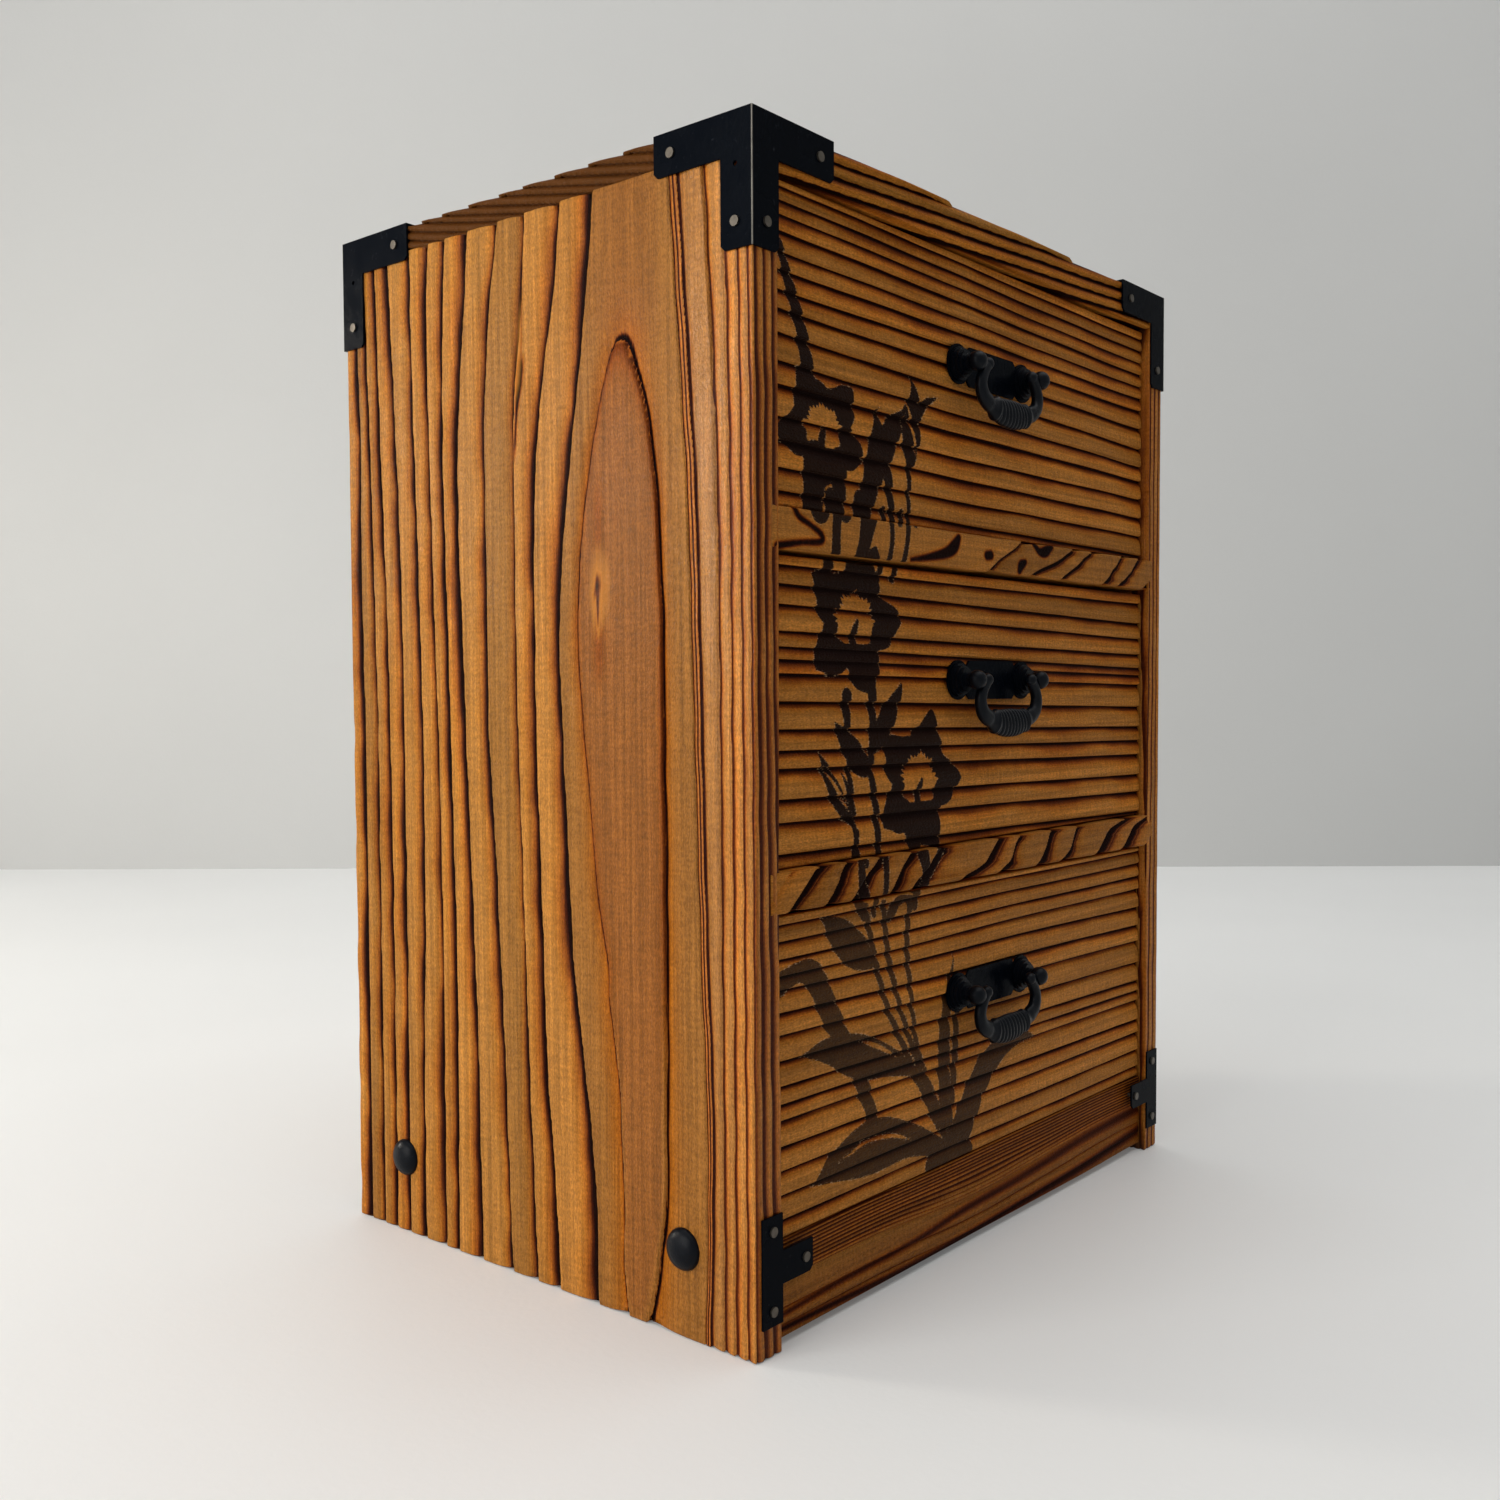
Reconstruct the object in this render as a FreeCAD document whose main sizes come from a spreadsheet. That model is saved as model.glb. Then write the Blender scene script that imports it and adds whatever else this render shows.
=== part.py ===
import FreeCAD, Part
import os
import re

import Sketcher
from FreeCAD import Rotation, Vector


# A small standing cabinet with three drawers, made of brushed softwood boards with black ironwork.
# Frame: +Z up, the drawers open towards -Y, and the origin is at the middle of the footprint.

# Driving sizes in millimetres: name, value, what it measures.
SIZES = [
    ("carcass_width", 298.0, "over the outer faces of the side panels"),
    ("carcass_depth", 217.0, "front plane to rear plane"),
    ("carcass_height", 400.0, "floor to the top face of the top board"),
    ("panel_thickness", 12.5, "side panels"),
    ("top_thickness", 15.4, "top board"),
    ("housing_depth", 4.7, "how far rails and bottom board are let into the side panels"),
    ("back_thickness", 6.0, "back panel"),
    ("rebate_lap", 5.0, "width of the rebate that holds the back panel"),
    ("kick_gap", 2.5, "floor to the underside of the kick board"),
    ("kick_top", 35.4, "floor to the top of the kick board and the bottom board"),
    ("kick_recess", 3.0, "front plane to the face of the kick board"),
    ("kick_thickness", 10.0, "kick board"),
    ("bottom_thickness", 9.8, "bottom board"),
    ("upper_rail_level", 263.9, "floor to the underside of the upper rail"),
    ("lower_rail_level", 144.9, "floor to the underside of the lower rail"),
    ("rail_height", 14.0, "front rails"),
    ("rail_depth", 24.0, "front rails, front to back"),
    ("rear_rail_depth", 16.0, "rear rails, front to back"),
    ("runner_width", 14.0, "drawer runners, side to side"),
    ("runner_height", 10.0, "drawer runners and rear rails"),
    ("drawer_recess", 3.4, "front plane to the face of a closed drawer"),
    ("drawer_side_clearance", 0.7, "drawer to side panel, each side"),
    ("drawer_slide_gap", 0.3, "drawer to the runners under it"),
    ("drawer_top_clearance", 1.2, "drawer front to the rail or board above it"),
    ("drawer_stop_gap", 0.3, "closed drawer to the back panel"),
    ("front_thickness", 13.0, "drawer fronts"),
    ("side_thickness", 8.0, "drawer sides"),
    ("rear_thickness", 8.0, "drawer backs"),
    ("side_drop", 4.0, "drawer sides below the top of the drawer front"),
    ("front_lap", 8.0, "length of drawer side let into the back of the drawer front"),
    ("floor_thickness", 4.0, "drawer bottoms"),
    ("floor_lift", 4.0, "underside of the drawer to its bottom board"),
    ("groove_depth", 3.0, "grooves that hold the drawer bottoms"),
    ("peg_radius", 1.2, "wooden pegs of the drawer joints"),
    ("peg_length", 16.0, "wooden pegs of the drawer joints"),
    ("peg_clearance", 0.05, "radial, peg to its hole"),
    ("iron_sheet", 0.75, "sheet of the corner irons and T-plates"),
    ("iron_leg", 42.5, "length of a corner iron's legs"),
    ("iron_clip", 1.6, "clipped tips of the legs"),
    ("pin_inset", 6.3, "pins from the near edge"),
    ("pin_reach", 34.0, "pins from the corner along a leg"),
    ("spare_hole_reach", 16.0, "spare nail hole from the corner"),
    ("tack_length", 5.25, "depth of the corner irons' pins in the wood"),
    ("tack_radius", 0.8, "shank of the pins"),
    ("tack_head_radius", 1.7, "head of the pins"),
    ("tack_head_height", 0.7, "head of the pins"),
    ("tack_clearance", 0.05, "radial, pin to its hole"),
    ("t_plate_inset", 2.2, "outer face of the side panel to the T-plate"),
    ("t_plate_height", 36.4, "upright strip of a T-plate"),
    ("t_plate_level", 28.8, "floor to the middle of a T-plate"),
    ("t_plate_reach", 28.5, "outer face of the side panel to the end of the tab"),
    ("t_tab_height", 11.0, "tab of a T-plate"),
    ("t_pin_spread", 13.2, "middle of a T-plate to its upright pins"),
    ("t_pin_margin", 4.0, "end of the tab to its pin"),
    ("t_pin_length", 8.5, "depth of the T-plates' pins behind the front plane"),
    ("dome_radius", 7.25, "head of the dome nails"),
    ("dome_height", 3.8, "head of the dome nails"),
    ("dome_inset", 32.2, "dome nails from the front and rear planes"),
    ("dome_shank_radius", 1.5, "shank of the dome nails"),
    ("dome_shank_length", 24.0, "shank of the dome nails"),
    ("nail_radius", 0.7, "shank of the back panel's nails"),
    ("nail_length", 14.0, "shank of the back panel's nails"),
    ("nail_head_radius", 2.0, "head of the back panel's nails"),
    ("nail_head_height", 0.6, "head of the back panel's nails"),
    ("pull_half_spacing", 24.0, "middle of the drawer to a post of the pull"),
    ("plate_thickness", 0.8, "backplate of the pull"),
    ("plate_half_height", 7.5, "backplate of the pull"),
    ("plate_middle_inset", 6.0, "post to the nearer end of the backplate's middle part"),
    ("plate_clip", 1.8, "clipped corners of the backplate's middle part"),
    ("plate_disc_radius", 7.6, "round ends of the backplate"),
    ("rosette_radius", 6.3, "lower ring of a rosette"),
    ("rosette_ring_radius", 5.5, "upper ring of a rosette"),
    ("rosette_step", 1.3, "height of each ring of a rosette"),
    ("collar_radius", 4.5, "collar of a post"),
    ("collar_height", 1.2, "collar of a post"),
    ("neck_radius", 2.7, "neck of a post"),
    ("post_reach", 9.0, "drawer face to the middle of a post's ball"),
    ("ball_radius", 3.75, "ball of a post"),
    ("shank_radius", 1.7, "threaded shank of a post"),
    ("shank_clearance", 0.1, "radial, shank to its holes"),
    ("shank_tip", 1.2, "shank standing out of its nut"),
    ("nut_half_width", 3.5, "square nuts of the posts"),
    ("nut_height", 3.0, "square nuts of the posts"),
    ("pivot_radius", 1.2, "pins of the bail"),
    ("pivot_depth", 3.2, "bore for a bail pin in its ball"),
    ("pivot_end_gap", 0.2, "end of a bail pin to the end of its bore"),
    ("pivot_clearance", 0.06, "radial, bail pin to its bore"),
    ("bail_arm_inset", 2.6, "post to the middle of the bail's arm at its widest"),
    ("bail_drop", 17.0, "axis of the bail to the middle of its grip"),
    ("bail_arm_radius", 2.1, "arm of the bail, across"),
    ("bail_arm_depth", 2.0, "half the arm of the bail, front to back"),
    ("bail_grip_radius", 4.5, "grip of the bail, half its height"),
    ("bail_grip_depth", 2.9, "grip of the bail, half its depth"),
    ("bail_eye_radius", 2.5, "rounded top of each arm"),
    ("bail_eye_gap", 0.95, "rounded top of an arm to the ball beside it"),
    ("valley_depth", 1.1, "brushed valleys in the side panels"),
    ("valley_width", 3.6, "brushed valleys in the side panels"),
    ("step_depth", 1.9, "brushed steps across the top board"),
    ("step_ridge", 1.4, "level ridge left between two steps of the top board"),
    ("overrun", 1.0, "how far cutting shapes start outside what they cut"),
]

# Places worked out from the sizes: name, formula.
PLACES = [
    ("half_width", "carcass_width / 2"),
    ("half_inner", "half_width - panel_thickness"),
    ("half_housed", "half_inner + housing_depth"),
    ("half_rebate", "half_inner + rebate_lap"),
    ("pull_reach", "post_reach + ball_radius"),
    ("front_y", "(pull_reach - drawer_recess - carcass_depth - iron_sheet - tack_head_height) / 2"),
    ("rear_y", "front_y + carcass_depth"),
    ("back_y", "rear_y - back_thickness"),
    ("kick_y", "front_y + kick_recess"),
    ("kick_back_y", "kick_y + kick_thickness"),
    ("rail_back_y", "front_y + rail_depth"),
    ("rear_rail_y", "back_y - rear_rail_depth"),
    ("ceiling_level", "carcass_height - top_thickness"),
    ("back_top", "ceiling_level + rebate_lap"),
    ("bottom_level", "kick_top - bottom_thickness"),
    ("bottom_middle", "kick_top - bottom_thickness / 2"),
    ("upper_slide_level", "upper_rail_level + rail_height"),
    ("lower_slide_level", "lower_rail_level + rail_height"),
    ("near_z", "carcass_height - pin_inset"),
    ("far_z", "carcass_height - pin_reach"),
    ("spare_z", "carcass_height - spare_hole_reach"),
    ("near_x", "half_width - pin_inset"),
    ("far_x", "half_width - pin_reach"),
    ("near_front_y", "front_y + pin_inset"),
    ("far_front_y", "front_y + pin_reach"),
    ("near_rear_y", "rear_y - pin_inset"),
    ("far_rear_y", "rear_y - pin_reach"),
    ("iron_band", "panel_thickness + iron_sheet"),
    ("t_strip_x", "half_inner + (panel_thickness - t_plate_inset) / 2"),
    ("t_tab_pin_x", "half_width - t_plate_reach + t_pin_margin"),
    ("nail_x", "half_inner + rebate_lap / 2"),
    ("nail_top_z", "ceiling_level + rebate_lap / 2"),
    ("drawer_y", "front_y + drawer_recess"),
    ("drawer_length", "back_y - drawer_stop_gap - drawer_y"),
    ("drawer_half_width", "half_inner - drawer_side_clearance"),
    ("drawer_half_inner", "drawer_half_width - side_thickness"),
    ("side_start", "front_thickness - front_lap"),
    ("front_peg_y", "front_thickness - front_lap / 2"),
    ("rear_peg_y", "drawer_length - rear_thickness / 2"),
    ("floor_top", "floor_lift + floor_thickness"),
    ("rosette_top", "plate_thickness + 2 * rosette_step"),
    ("collar_top", "rosette_top + collar_height"),
    ("shank_end", "front_thickness + nut_height + shank_tip"),
    ("plate_half_middle", "pull_half_spacing - plate_middle_inset"),
    ("bail_half_span", "pull_half_spacing - bail_arm_inset"),
    ("bail_eye_x", "pull_half_spacing - ball_radius - bail_eye_gap - bail_eye_radius"),
    ("bore_radius", "pivot_radius + pivot_clearance"),
    ("bore_start", "pull_half_spacing - ball_radius - overrun"),
    ("bore_end", "pull_half_spacing - ball_radius + pivot_depth"),
]

# The drawers: name, level that the drawer slides on, level above its front.
DRAWERS = [
    ("top_drawer", "upper_slide_level", "ceiling_level"),
    ("middle_drawer", "lower_slide_level", "upper_rail_level"),
    ("bottom_drawer", "kick_top", "lower_rail_level"),
]

# Height of a pull's posts, as a share of the drawer front's height.
PULL_HEIGHT_SHARE = 0.605

# Heights of the pegs, as shares of the drawer side's height above the drawer's bottom.
PEG_SHARES = (0.12, 0.49, 0.86)

# Heights and places of the back panel's nails, as shares of the panel's height and half width.
NAIL_HEIGHT_SHARES = (0.12, 0.38, 0.64, 0.9)
NAIL_WIDTH_SHARES = (-0.6, 0, 0.6)

# One half of the bail from below its eye to the middle of its grip. Shares of the half span, of the
# drop and of the swelling from arm to grip, and the turn of the section in degrees.
BAIL_SHARES = (
    (0.915, 0.2, 0, -15),
    (1, 0.47, 0.05, 5),
    (0.945, 0.7, 0.2, 38),
    (0.725, 0.88, 0.38, 66),
    (0.375, 0.98, 0.83, 82),
    (0, 1, 1, 90),
)

# Valleys of the side panels behind and before the arch of the grain: shares of the panel's depth at
# which each one starts, at the shares of its height given first.
VALLEY_HEIGHT_SHARES = (0, 0.5, 0.8, 1)
REAR_VALLEY_SHARES = (
    (0.341, 0.414, 0.376, 0.329),
    (0.433, 0.480, 0.464, 0.404),
    (0.490, 0.526, 0.529, 0.495),
    (0.554, 0.602, 0.605, 0.558),
    (0.633, 0.664, 0.676, 0.641),
    (0.700, 0.707, 0.720, 0.704),
    (0.737, 0.742, 0.759, 0.753),
    (0.796, 0.786, 0.803, 0.809),
    (0.842, 0.842, 0.857, 0.878),
    (0.882, 0.885, 0.903, 0.915),
    (0.921, 0.922, 0.935, 0.949),
)
FRONT_VALLEY_SHARES = (
    (0.094, 0.105, 0.128, 0.154),
    (0.064, 0.069, 0.078, 0.101),
)

# The arch, from the foot of its rear leg over its top to the foot of its front leg: shares of the
# panel's depth and height.
ARCH_SHARES = (
    (0.272, 0),
    (0.302, 0.25),
    (0.361, 0.5),
    (0.341, 0.75),
    (0.274, 0.845),
    (0.206, 0.75),
    (0.187, 0.5),
    (0.184, 0.25),
    (0.226, 0),
)

# Steps of the top board from front to rear, as shares of its depth.
STEP_SHARES = (0.041, 0.111, 0.189, 0.267, 0.346, 0.424, 0.502, 0.562, 0.641, 0.714, 0.774, 0.857,
               0.935)

NODES = []

doc = FreeCAD.newDocument("drawer_cabinet")


def formula(text):
    """The expression with each named size and place looked up where it is kept."""
    size_names = {row[0] for row in SIZES}
    place_names = {row[0] for row in PLACES}

    def full_name(match):
        word = match.group(0)
        if word in size_names:
            return "sizes." + word
        if word in place_names:
            return "places." + word
        return word

    return re.sub(r"[a-z][a-z_]*", full_name, text)


def number(text):
    """The present value of an expression."""
    return float(doc.getObject("places").evalExpression(formula(text)))


def bind(thing, path, text):
    """Ties a property of an object to an expression."""
    thing.setExpression(path, formula(text))


def place_at(thing, x_text="0", y_text="0", z_text="0"):
    """Ties an object's position to expressions."""
    for axis, text in (("x", x_text), ("y", y_text), ("z", z_text)):
        bind(thing, ".Placement.Base." + axis, text)


def keep(thing, name):
    """Marks an object as a finished sub-part under its name."""
    thing.Label = name
    NODES.append((name, thing))
    return thing


def make_tables():
    """The table of sizes and the set of places that follow from them."""
    sheet = doc.addObject("Spreadsheet::Sheet", "sizes")
    for row, (name, value, note) in enumerate(SIZES, start=1):
        sheet.set(f"A{row}", name)
        sheet.set(f"B{row}", str(value))
        sheet.set(f"C{row}", note)
        sheet.setAlias(f"B{row}", name)
    doc.recompute()
    places = doc.addObject("App::VarSet", "places")
    for name, text in PLACES:
        places.addProperty("App::PropertyFloat", name)
        places.setExpression(name, formula(text))
        doc.recompute()


# Sketches and features

def new_body(name):
    """An empty body under a working name."""
    return doc.addObject("PartDesign::Body", name + "_body")


def new_sketch(body, plane, offset="0"):
    """A sketch on one of the body's origin planes, moved along the plane's normal."""
    sketch = body.newObject("Sketcher::SketchObject", body.Name + "_sketch")
    planes = [item for item in body.Origin.OriginFeatures if item.Role == plane]
    sketch.AttachmentSupport = [(planes[0], "")]
    sketch.MapMode = "FlatFace"
    bind(sketch, ".AttachmentOffset.Base.z", offset)
    return sketch


def fix_points(sketch, shape_indexes, point_index, places):
    """Holds one point of each shape in the sketch at a place given by two expressions."""
    rules = []
    texts = []
    for shape_index, (x_text, y_text) in zip(shape_indexes, places):
        for kind, text in (("DistanceX", x_text), ("DistanceY", y_text)):
            rules.append(Sketcher.Constraint(kind, -1, 1, shape_index, point_index, number(text)))
            texts.append(text)
    for index, text in zip(sketch.addConstraint(rules), texts):
        sketch.setExpression(f"Constraints[{index}]", formula(text))


def add_outline(sketch, corners):
    """Adds a closed outline through corners that are pairs of expressions."""
    first = sketch.GeometryCount
    count = len(corners)
    points = [Vector(number(x_text), number(y_text), 0) for x_text, y_text in corners]
    sides = [Part.LineSegment(start, end) for start, end in zip(points, points[1:] + points[:1])]
    sketch.addGeometry(sides, False)
    joints = [
        Sketcher.Constraint("Coincident", first + index, 2, first + (index + 1) % count, 1)
        for index in range(count)
    ]
    sketch.addConstraint(joints)
    fix_points(sketch, range(first, first + count), 1, corners)


def add_rectangle(sketch, low_x, high_x, low_y, high_y):
    """Adds a rectangle given by four expressions."""
    add_outline(sketch, [(low_x, low_y), (high_x, low_y), (high_x, high_y), (low_x, high_y)])


def add_circles(sketch, centres, radius):
    """Adds a circle of one radius at each centre."""
    for x_text, y_text in centres:
        centre = Vector(number(x_text), number(y_text), 0)
        index = sketch.addGeometry(Part.Circle(centre, Vector(0, 0, 1), number(radius)), False)
        rule = sketch.addConstraint(Sketcher.Constraint("Radius", index, number(radius)))
        sketch.setExpression(f"Constraints[{rule}]", formula(radius))
        fix_points(sketch, [index], 3, [(x_text, y_text)])


def pad(body, sketch, length, backwards=False, midplane=False):
    """Adds a length of the sketched shape along the sketch's normal, or against it."""
    feature = body.newObject("PartDesign::Pad", body.Name + "_pad")
    feature.Profile = sketch
    feature.Reversed = backwards
    feature.Midplane = midplane
    bind(feature, "Length", length)
    sketch.Visibility = False
    return feature


def pocket(body, sketch, length, backwards=False, midplane=False):
    """Cuts a length of the sketched shape against the sketch's normal, or along it."""
    feature = body.newObject("PartDesign::Pocket", body.Name + "_pocket")
    feature.Profile = sketch
    feature.Reversed = backwards
    feature.Midplane = midplane
    bind(feature, "Length", length)
    sketch.Visibility = False
    return feature


def revolve(body, sketch):
    """Turns a sketch on the YZ plane about the body's Y axis."""
    feature = body.newObject("PartDesign::Revolution", body.Name + "_turned")
    feature.Profile = sketch
    feature.ReferenceAxis = (sketch, ["H_Axis"])
    feature.Angle = 360
    sketch.Visibility = False
    return feature


def board(name, low, high):
    """A plain board between two corners given as expressions."""
    box = doc.addObject("Part::Box", name + "_box")
    for property_name, start, end in zip(("Length", "Width", "Height"), low, high):
        bind(box, property_name, f"({end}) - ({start})")
    place_at(box, *low)
    return box


def mirrored(source, normal, axis, place):
    """The mirror image of an object about a plane square to one axis."""
    image = doc.addObject("Part::Mirroring", source.Name + "_mirrored")
    image.Source = source
    image.Normal = normal
    bind(image, ".Base." + axis, place)
    return image


def grouped(name, members):
    """Several separate solids as one object."""
    group = doc.addObject("Part::Compound", name + "_group")
    group.Links = members
    return group


# Places of the fasteners, each list as pairs of expressions in its own face

def signed(sign, text):
    """An expression, mirrored when the sign is negative."""
    return f"{sign} * ({text})"


def side_face_pins():
    """Pins of the corner irons on a side face, as Y and Z."""
    return [
        ("far_front_y", "near_z"),
        ("near_front_y", "far_z"),
        ("far_rear_y", "near_z"),
        ("near_rear_y", "far_z"),
    ]


def end_face_pins():
    """Pins of the corner irons on the front or rear face, as X and Z."""
    return [
        (signed(side, x_text), z_text)
        for side in (-1, 1)
        for x_text, z_text in (("far_x", "near_z"), ("near_x", "far_z"))
    ]


def top_face_pins():
    """Pins of the corner irons on the top face, as X and Y."""
    return [
        (signed(side, x_text), y_text)
        for side in (-1, 1)
        for x_text, y_text in (
            ("far_x", "near_front_y"),
            ("near_x", "far_front_y"),
            ("far_x", "near_rear_y"),
            ("near_x", "far_rear_y"),
        )
    ]


def t_strip_pins(side):
    """Pins of a T-plate's upright strip, as X and Z."""
    return [
        (signed(side, "t_strip_x"), "t_plate_level - t_pin_spread"),
        (signed(side, "t_strip_x"), "t_plate_level + t_pin_spread"),
    ]


def t_tab_pin(side):
    """Pin of a T-plate's tab, as X and Z."""
    return [(signed(side, "t_tab_pin_x"), "t_plate_level")]


def back_side_nails(side):
    """Nails of the back panel into a side panel, as X and Z."""
    span = "(back_top - bottom_level)"
    return [(signed(side, "nail_x"), f"bottom_level + {share} * {span}") for share in NAIL_HEIGHT_SHARES]


def back_row_nails(level):
    """Nails of the back panel in a row across it, as X and Z."""
    return [(f"{share} * half_inner", level) for share in NAIL_WIDTH_SHARES]


def dome_places():
    """Dome nails on a side face, as Y and Z."""
    return [("front_y + dome_inset", "bottom_middle"), ("rear_y - dome_inset", "bottom_middle")]


# Carcass

def add_holes(body, plane, offset, centres, radius, depth, backwards=False):
    """Cuts a hole of one radius and depth at each centre."""
    sketch = new_sketch(body, plane, offset)
    add_circles(sketch, centres, radius)
    pocket(body, sketch, depth, backwards)


def valley_outline(edge, side, first, last):
    """Outline of a valley from its first edge, as Y and Z, a valley's width to one side of it. The
    ends run out of the panel, below its foot and above its top."""
    far = [(f"{y_text} + {side} * valley_width", z_text) for y_text, z_text in edge]
    near_ends = [(edge[0][0], first)] + edge[1:-1] + [(edge[-1][0], last)]
    far_ends = [(far[0][0], first)] + far[1:-1] + [(far[-1][0], last)]
    return near_ends + far_ends[::-1]


def arch_outline():
    """Outline of the valley round the arch, as Y and Z: up its inner edge and back outside it."""
    inner = []
    outer = []
    middle = len(ARCH_SHARES) // 2
    for index, (depth_share, height_share) in enumerate(ARCH_SHARES):
        y_text = f"front_y + {depth_share} * carcass_depth"
        z_text = f"{height_share} * carcass_height" if height_share else "-overrun"
        side = (index < middle) - (index > middle)
        lift = " + 2 * valley_width" if index == middle else ""
        inner.append((y_text, z_text))
        outer.append((f"{y_text} + {side} * valley_width", z_text + lift))
    return inner + outer[::-1]


def cut_valleys(body, side):
    """Cuts the brushed valleys of the grain into the outer face of a side panel."""
    sketch = new_sketch(body, "YZ_Plane", signed(side, "half_width"))
    for direction, table in ((1, REAR_VALLEY_SHARES), (-1, FRONT_VALLEY_SHARES)):
        for shares in table:
            edge = [
                (f"front_y + {depth_share} * carcass_depth", f"{height_share} * carcass_height")
                for depth_share, height_share in zip(shares, VALLEY_HEIGHT_SHARES)
            ]
            above = "carcass_height + overrun"
            add_outline(sketch, valley_outline(edge, direction, "-overrun", above))
    add_outline(sketch, arch_outline())
    pocket(body, sketch, "valley_depth", backwards=side < 0)


def make_side_panel(name, side):
    """Side panel with mitred top, housings, rear rebate, brushed face and its fasteners' holes."""
    body = new_body(name)
    sketch = new_sketch(body, "XZ_Plane", "-front_y")
    add_outline(sketch, [
        (signed(side, "half_width"), "0"),
        (signed(side, "half_inner"), "0"),
        (signed(side, "half_inner"), "ceiling_level"),
        (signed(side, "half_width"), "carcass_height"),
    ])
    pad(body, sketch, "carcass_depth", backwards=True)

    outwards = side > 0
    housings = new_sketch(body, "YZ_Plane", signed(side, "half_inner"))
    add_rectangle(housings, "front_y - overrun", "rail_back_y", "upper_rail_level", "upper_slide_level")
    add_rectangle(housings, "front_y - overrun", "rail_back_y", "lower_rail_level", "lower_slide_level")
    add_rectangle(housings, "kick_back_y", "back_y", "bottom_level", "kick_top")
    pocket(body, housings, "housing_depth", backwards=outwards)
    rebate = new_sketch(body, "YZ_Plane", signed(side, "half_inner"))
    add_rectangle(rebate, "back_y", "rear_y + overrun", "bottom_level", "back_top")
    pocket(body, rebate, "rebate_lap", backwards=outwards)
    cut_valleys(body, side)

    tack_hole = "tack_radius + tack_clearance"
    inwards = side < 0
    outer = signed(side, "half_width")
    add_holes(body, "YZ_Plane", outer, side_face_pins(), tack_hole, "tack_length", inwards)
    add_holes(body, "YZ_Plane", outer, dome_places(), "dome_shank_radius + tack_clearance",
              "panel_thickness", inwards)
    edge_pin = [(signed(side, "near_x"), "far_z")]
    add_holes(body, "XZ_Plane", "-front_y", edge_pin, tack_hole, "tack_length")
    add_holes(body, "XZ_Plane", "-front_y", t_strip_pins(side), tack_hole, "t_pin_length")
    add_holes(body, "XZ_Plane", "-rear_y", edge_pin, tack_hole, "tack_length", True)
    add_holes(body, "XZ_Plane", "-rear_y", back_side_nails(side), "nail_radius + tack_clearance",
              "nail_length", True)
    keep(body, name)


def cut_steps(body):
    """Cuts the brushed steps of the top board: each is deepest at its front edge and rises to a
    level ridge before the next one."""
    sketch = new_sketch(body, "YZ_Plane", "-half_width - overrun")
    for share, next_share in zip(STEP_SHARES, STEP_SHARES[1:]):
        start = f"front_y + {share} * carcass_depth"
        end = f"front_y + {next_share} * carcass_depth - step_ridge"
        add_outline(sketch, [
            (start, "carcass_height - step_depth"),
            (end, "carcass_height"),
            (end, "carcass_height + overrun"),
            (start, "carcass_height + overrun"),
        ])
    pocket(body, sketch, "carcass_width + 2 * overrun", backwards=True)


def make_top_board():
    """Top board, mitred to the side panels, with brushed steps, the rear rebate and pin holes."""
    body = new_body("top_board")
    sketch = new_sketch(body, "XZ_Plane", "-front_y")
    add_outline(sketch, [
        ("-half_width", "carcass_height"),
        ("-half_inner", "ceiling_level"),
        ("half_inner", "ceiling_level"),
        ("half_width", "carcass_height"),
    ])
    pad(body, sketch, "carcass_depth", backwards=True)
    rebate = new_sketch(body, "XZ_Plane", "-back_y")
    add_rectangle(rebate, "-half_rebate", "half_rebate", "ceiling_level - overrun", "back_top")
    pocket(body, rebate, "back_thickness")
    cut_steps(body)

    tack_hole = "tack_radius + tack_clearance"
    far_pins = [pin for pin in end_face_pins() if pin[1] == "near_z"]
    side_pins = [pin for pin in side_face_pins() if pin[1] == "near_z"]
    add_holes(body, "XZ_Plane", "-front_y", far_pins, tack_hole, "tack_length")
    add_holes(body, "XZ_Plane", "-rear_y", far_pins, tack_hole, "tack_length", True)
    add_holes(body, "XY_Plane", "carcass_height", top_face_pins(), tack_hole, "tack_length")
    add_holes(body, "YZ_Plane", "-half_width", side_pins, tack_hole, "tack_length", True)
    add_holes(body, "YZ_Plane", "half_width", side_pins, tack_hole, "tack_length")
    add_holes(body, "XZ_Plane", "-rear_y", back_row_nails("nail_top_z"),
              "nail_radius + tack_clearance", "nail_length", True)
    keep(body, "top_board")


def make_bottom_board():
    """Bottom board, housed in the side panels, with the holes of the dome nails."""
    body = new_body("bottom_board")
    sketch = new_sketch(body, "XY_Plane", "bottom_level")
    add_rectangle(sketch, "-half_housed", "half_housed", "kick_back_y", "back_y")
    pad(body, sketch, "bottom_thickness")
    dome_hole = "dome_shank_radius + tack_clearance"
    add_holes(body, "YZ_Plane", "-half_width", dome_places(), dome_hole, "dome_shank_length", True)
    add_holes(body, "YZ_Plane", "half_width", dome_places(), dome_hole, "dome_shank_length")
    add_holes(body, "XZ_Plane", "-rear_y", back_row_nails("bottom_middle"),
              "nail_radius + tack_clearance", "nail_length", True)
    keep(body, "bottom_board")


def make_kick_board():
    """Kick board under the bottom drawer, with the holes of the T-plates' tab pins."""
    body = new_body("kick_board")
    sketch = new_sketch(body, "XY_Plane", "kick_gap")
    add_rectangle(sketch, "-half_inner", "half_inner", "kick_y", "kick_back_y")
    pad(body, sketch, "kick_top - kick_gap")
    add_holes(body, "XZ_Plane", "-front_y", t_tab_pin(-1) + t_tab_pin(1),
              "tack_radius + tack_clearance", "t_pin_length")
    keep(body, "kick_board")


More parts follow.
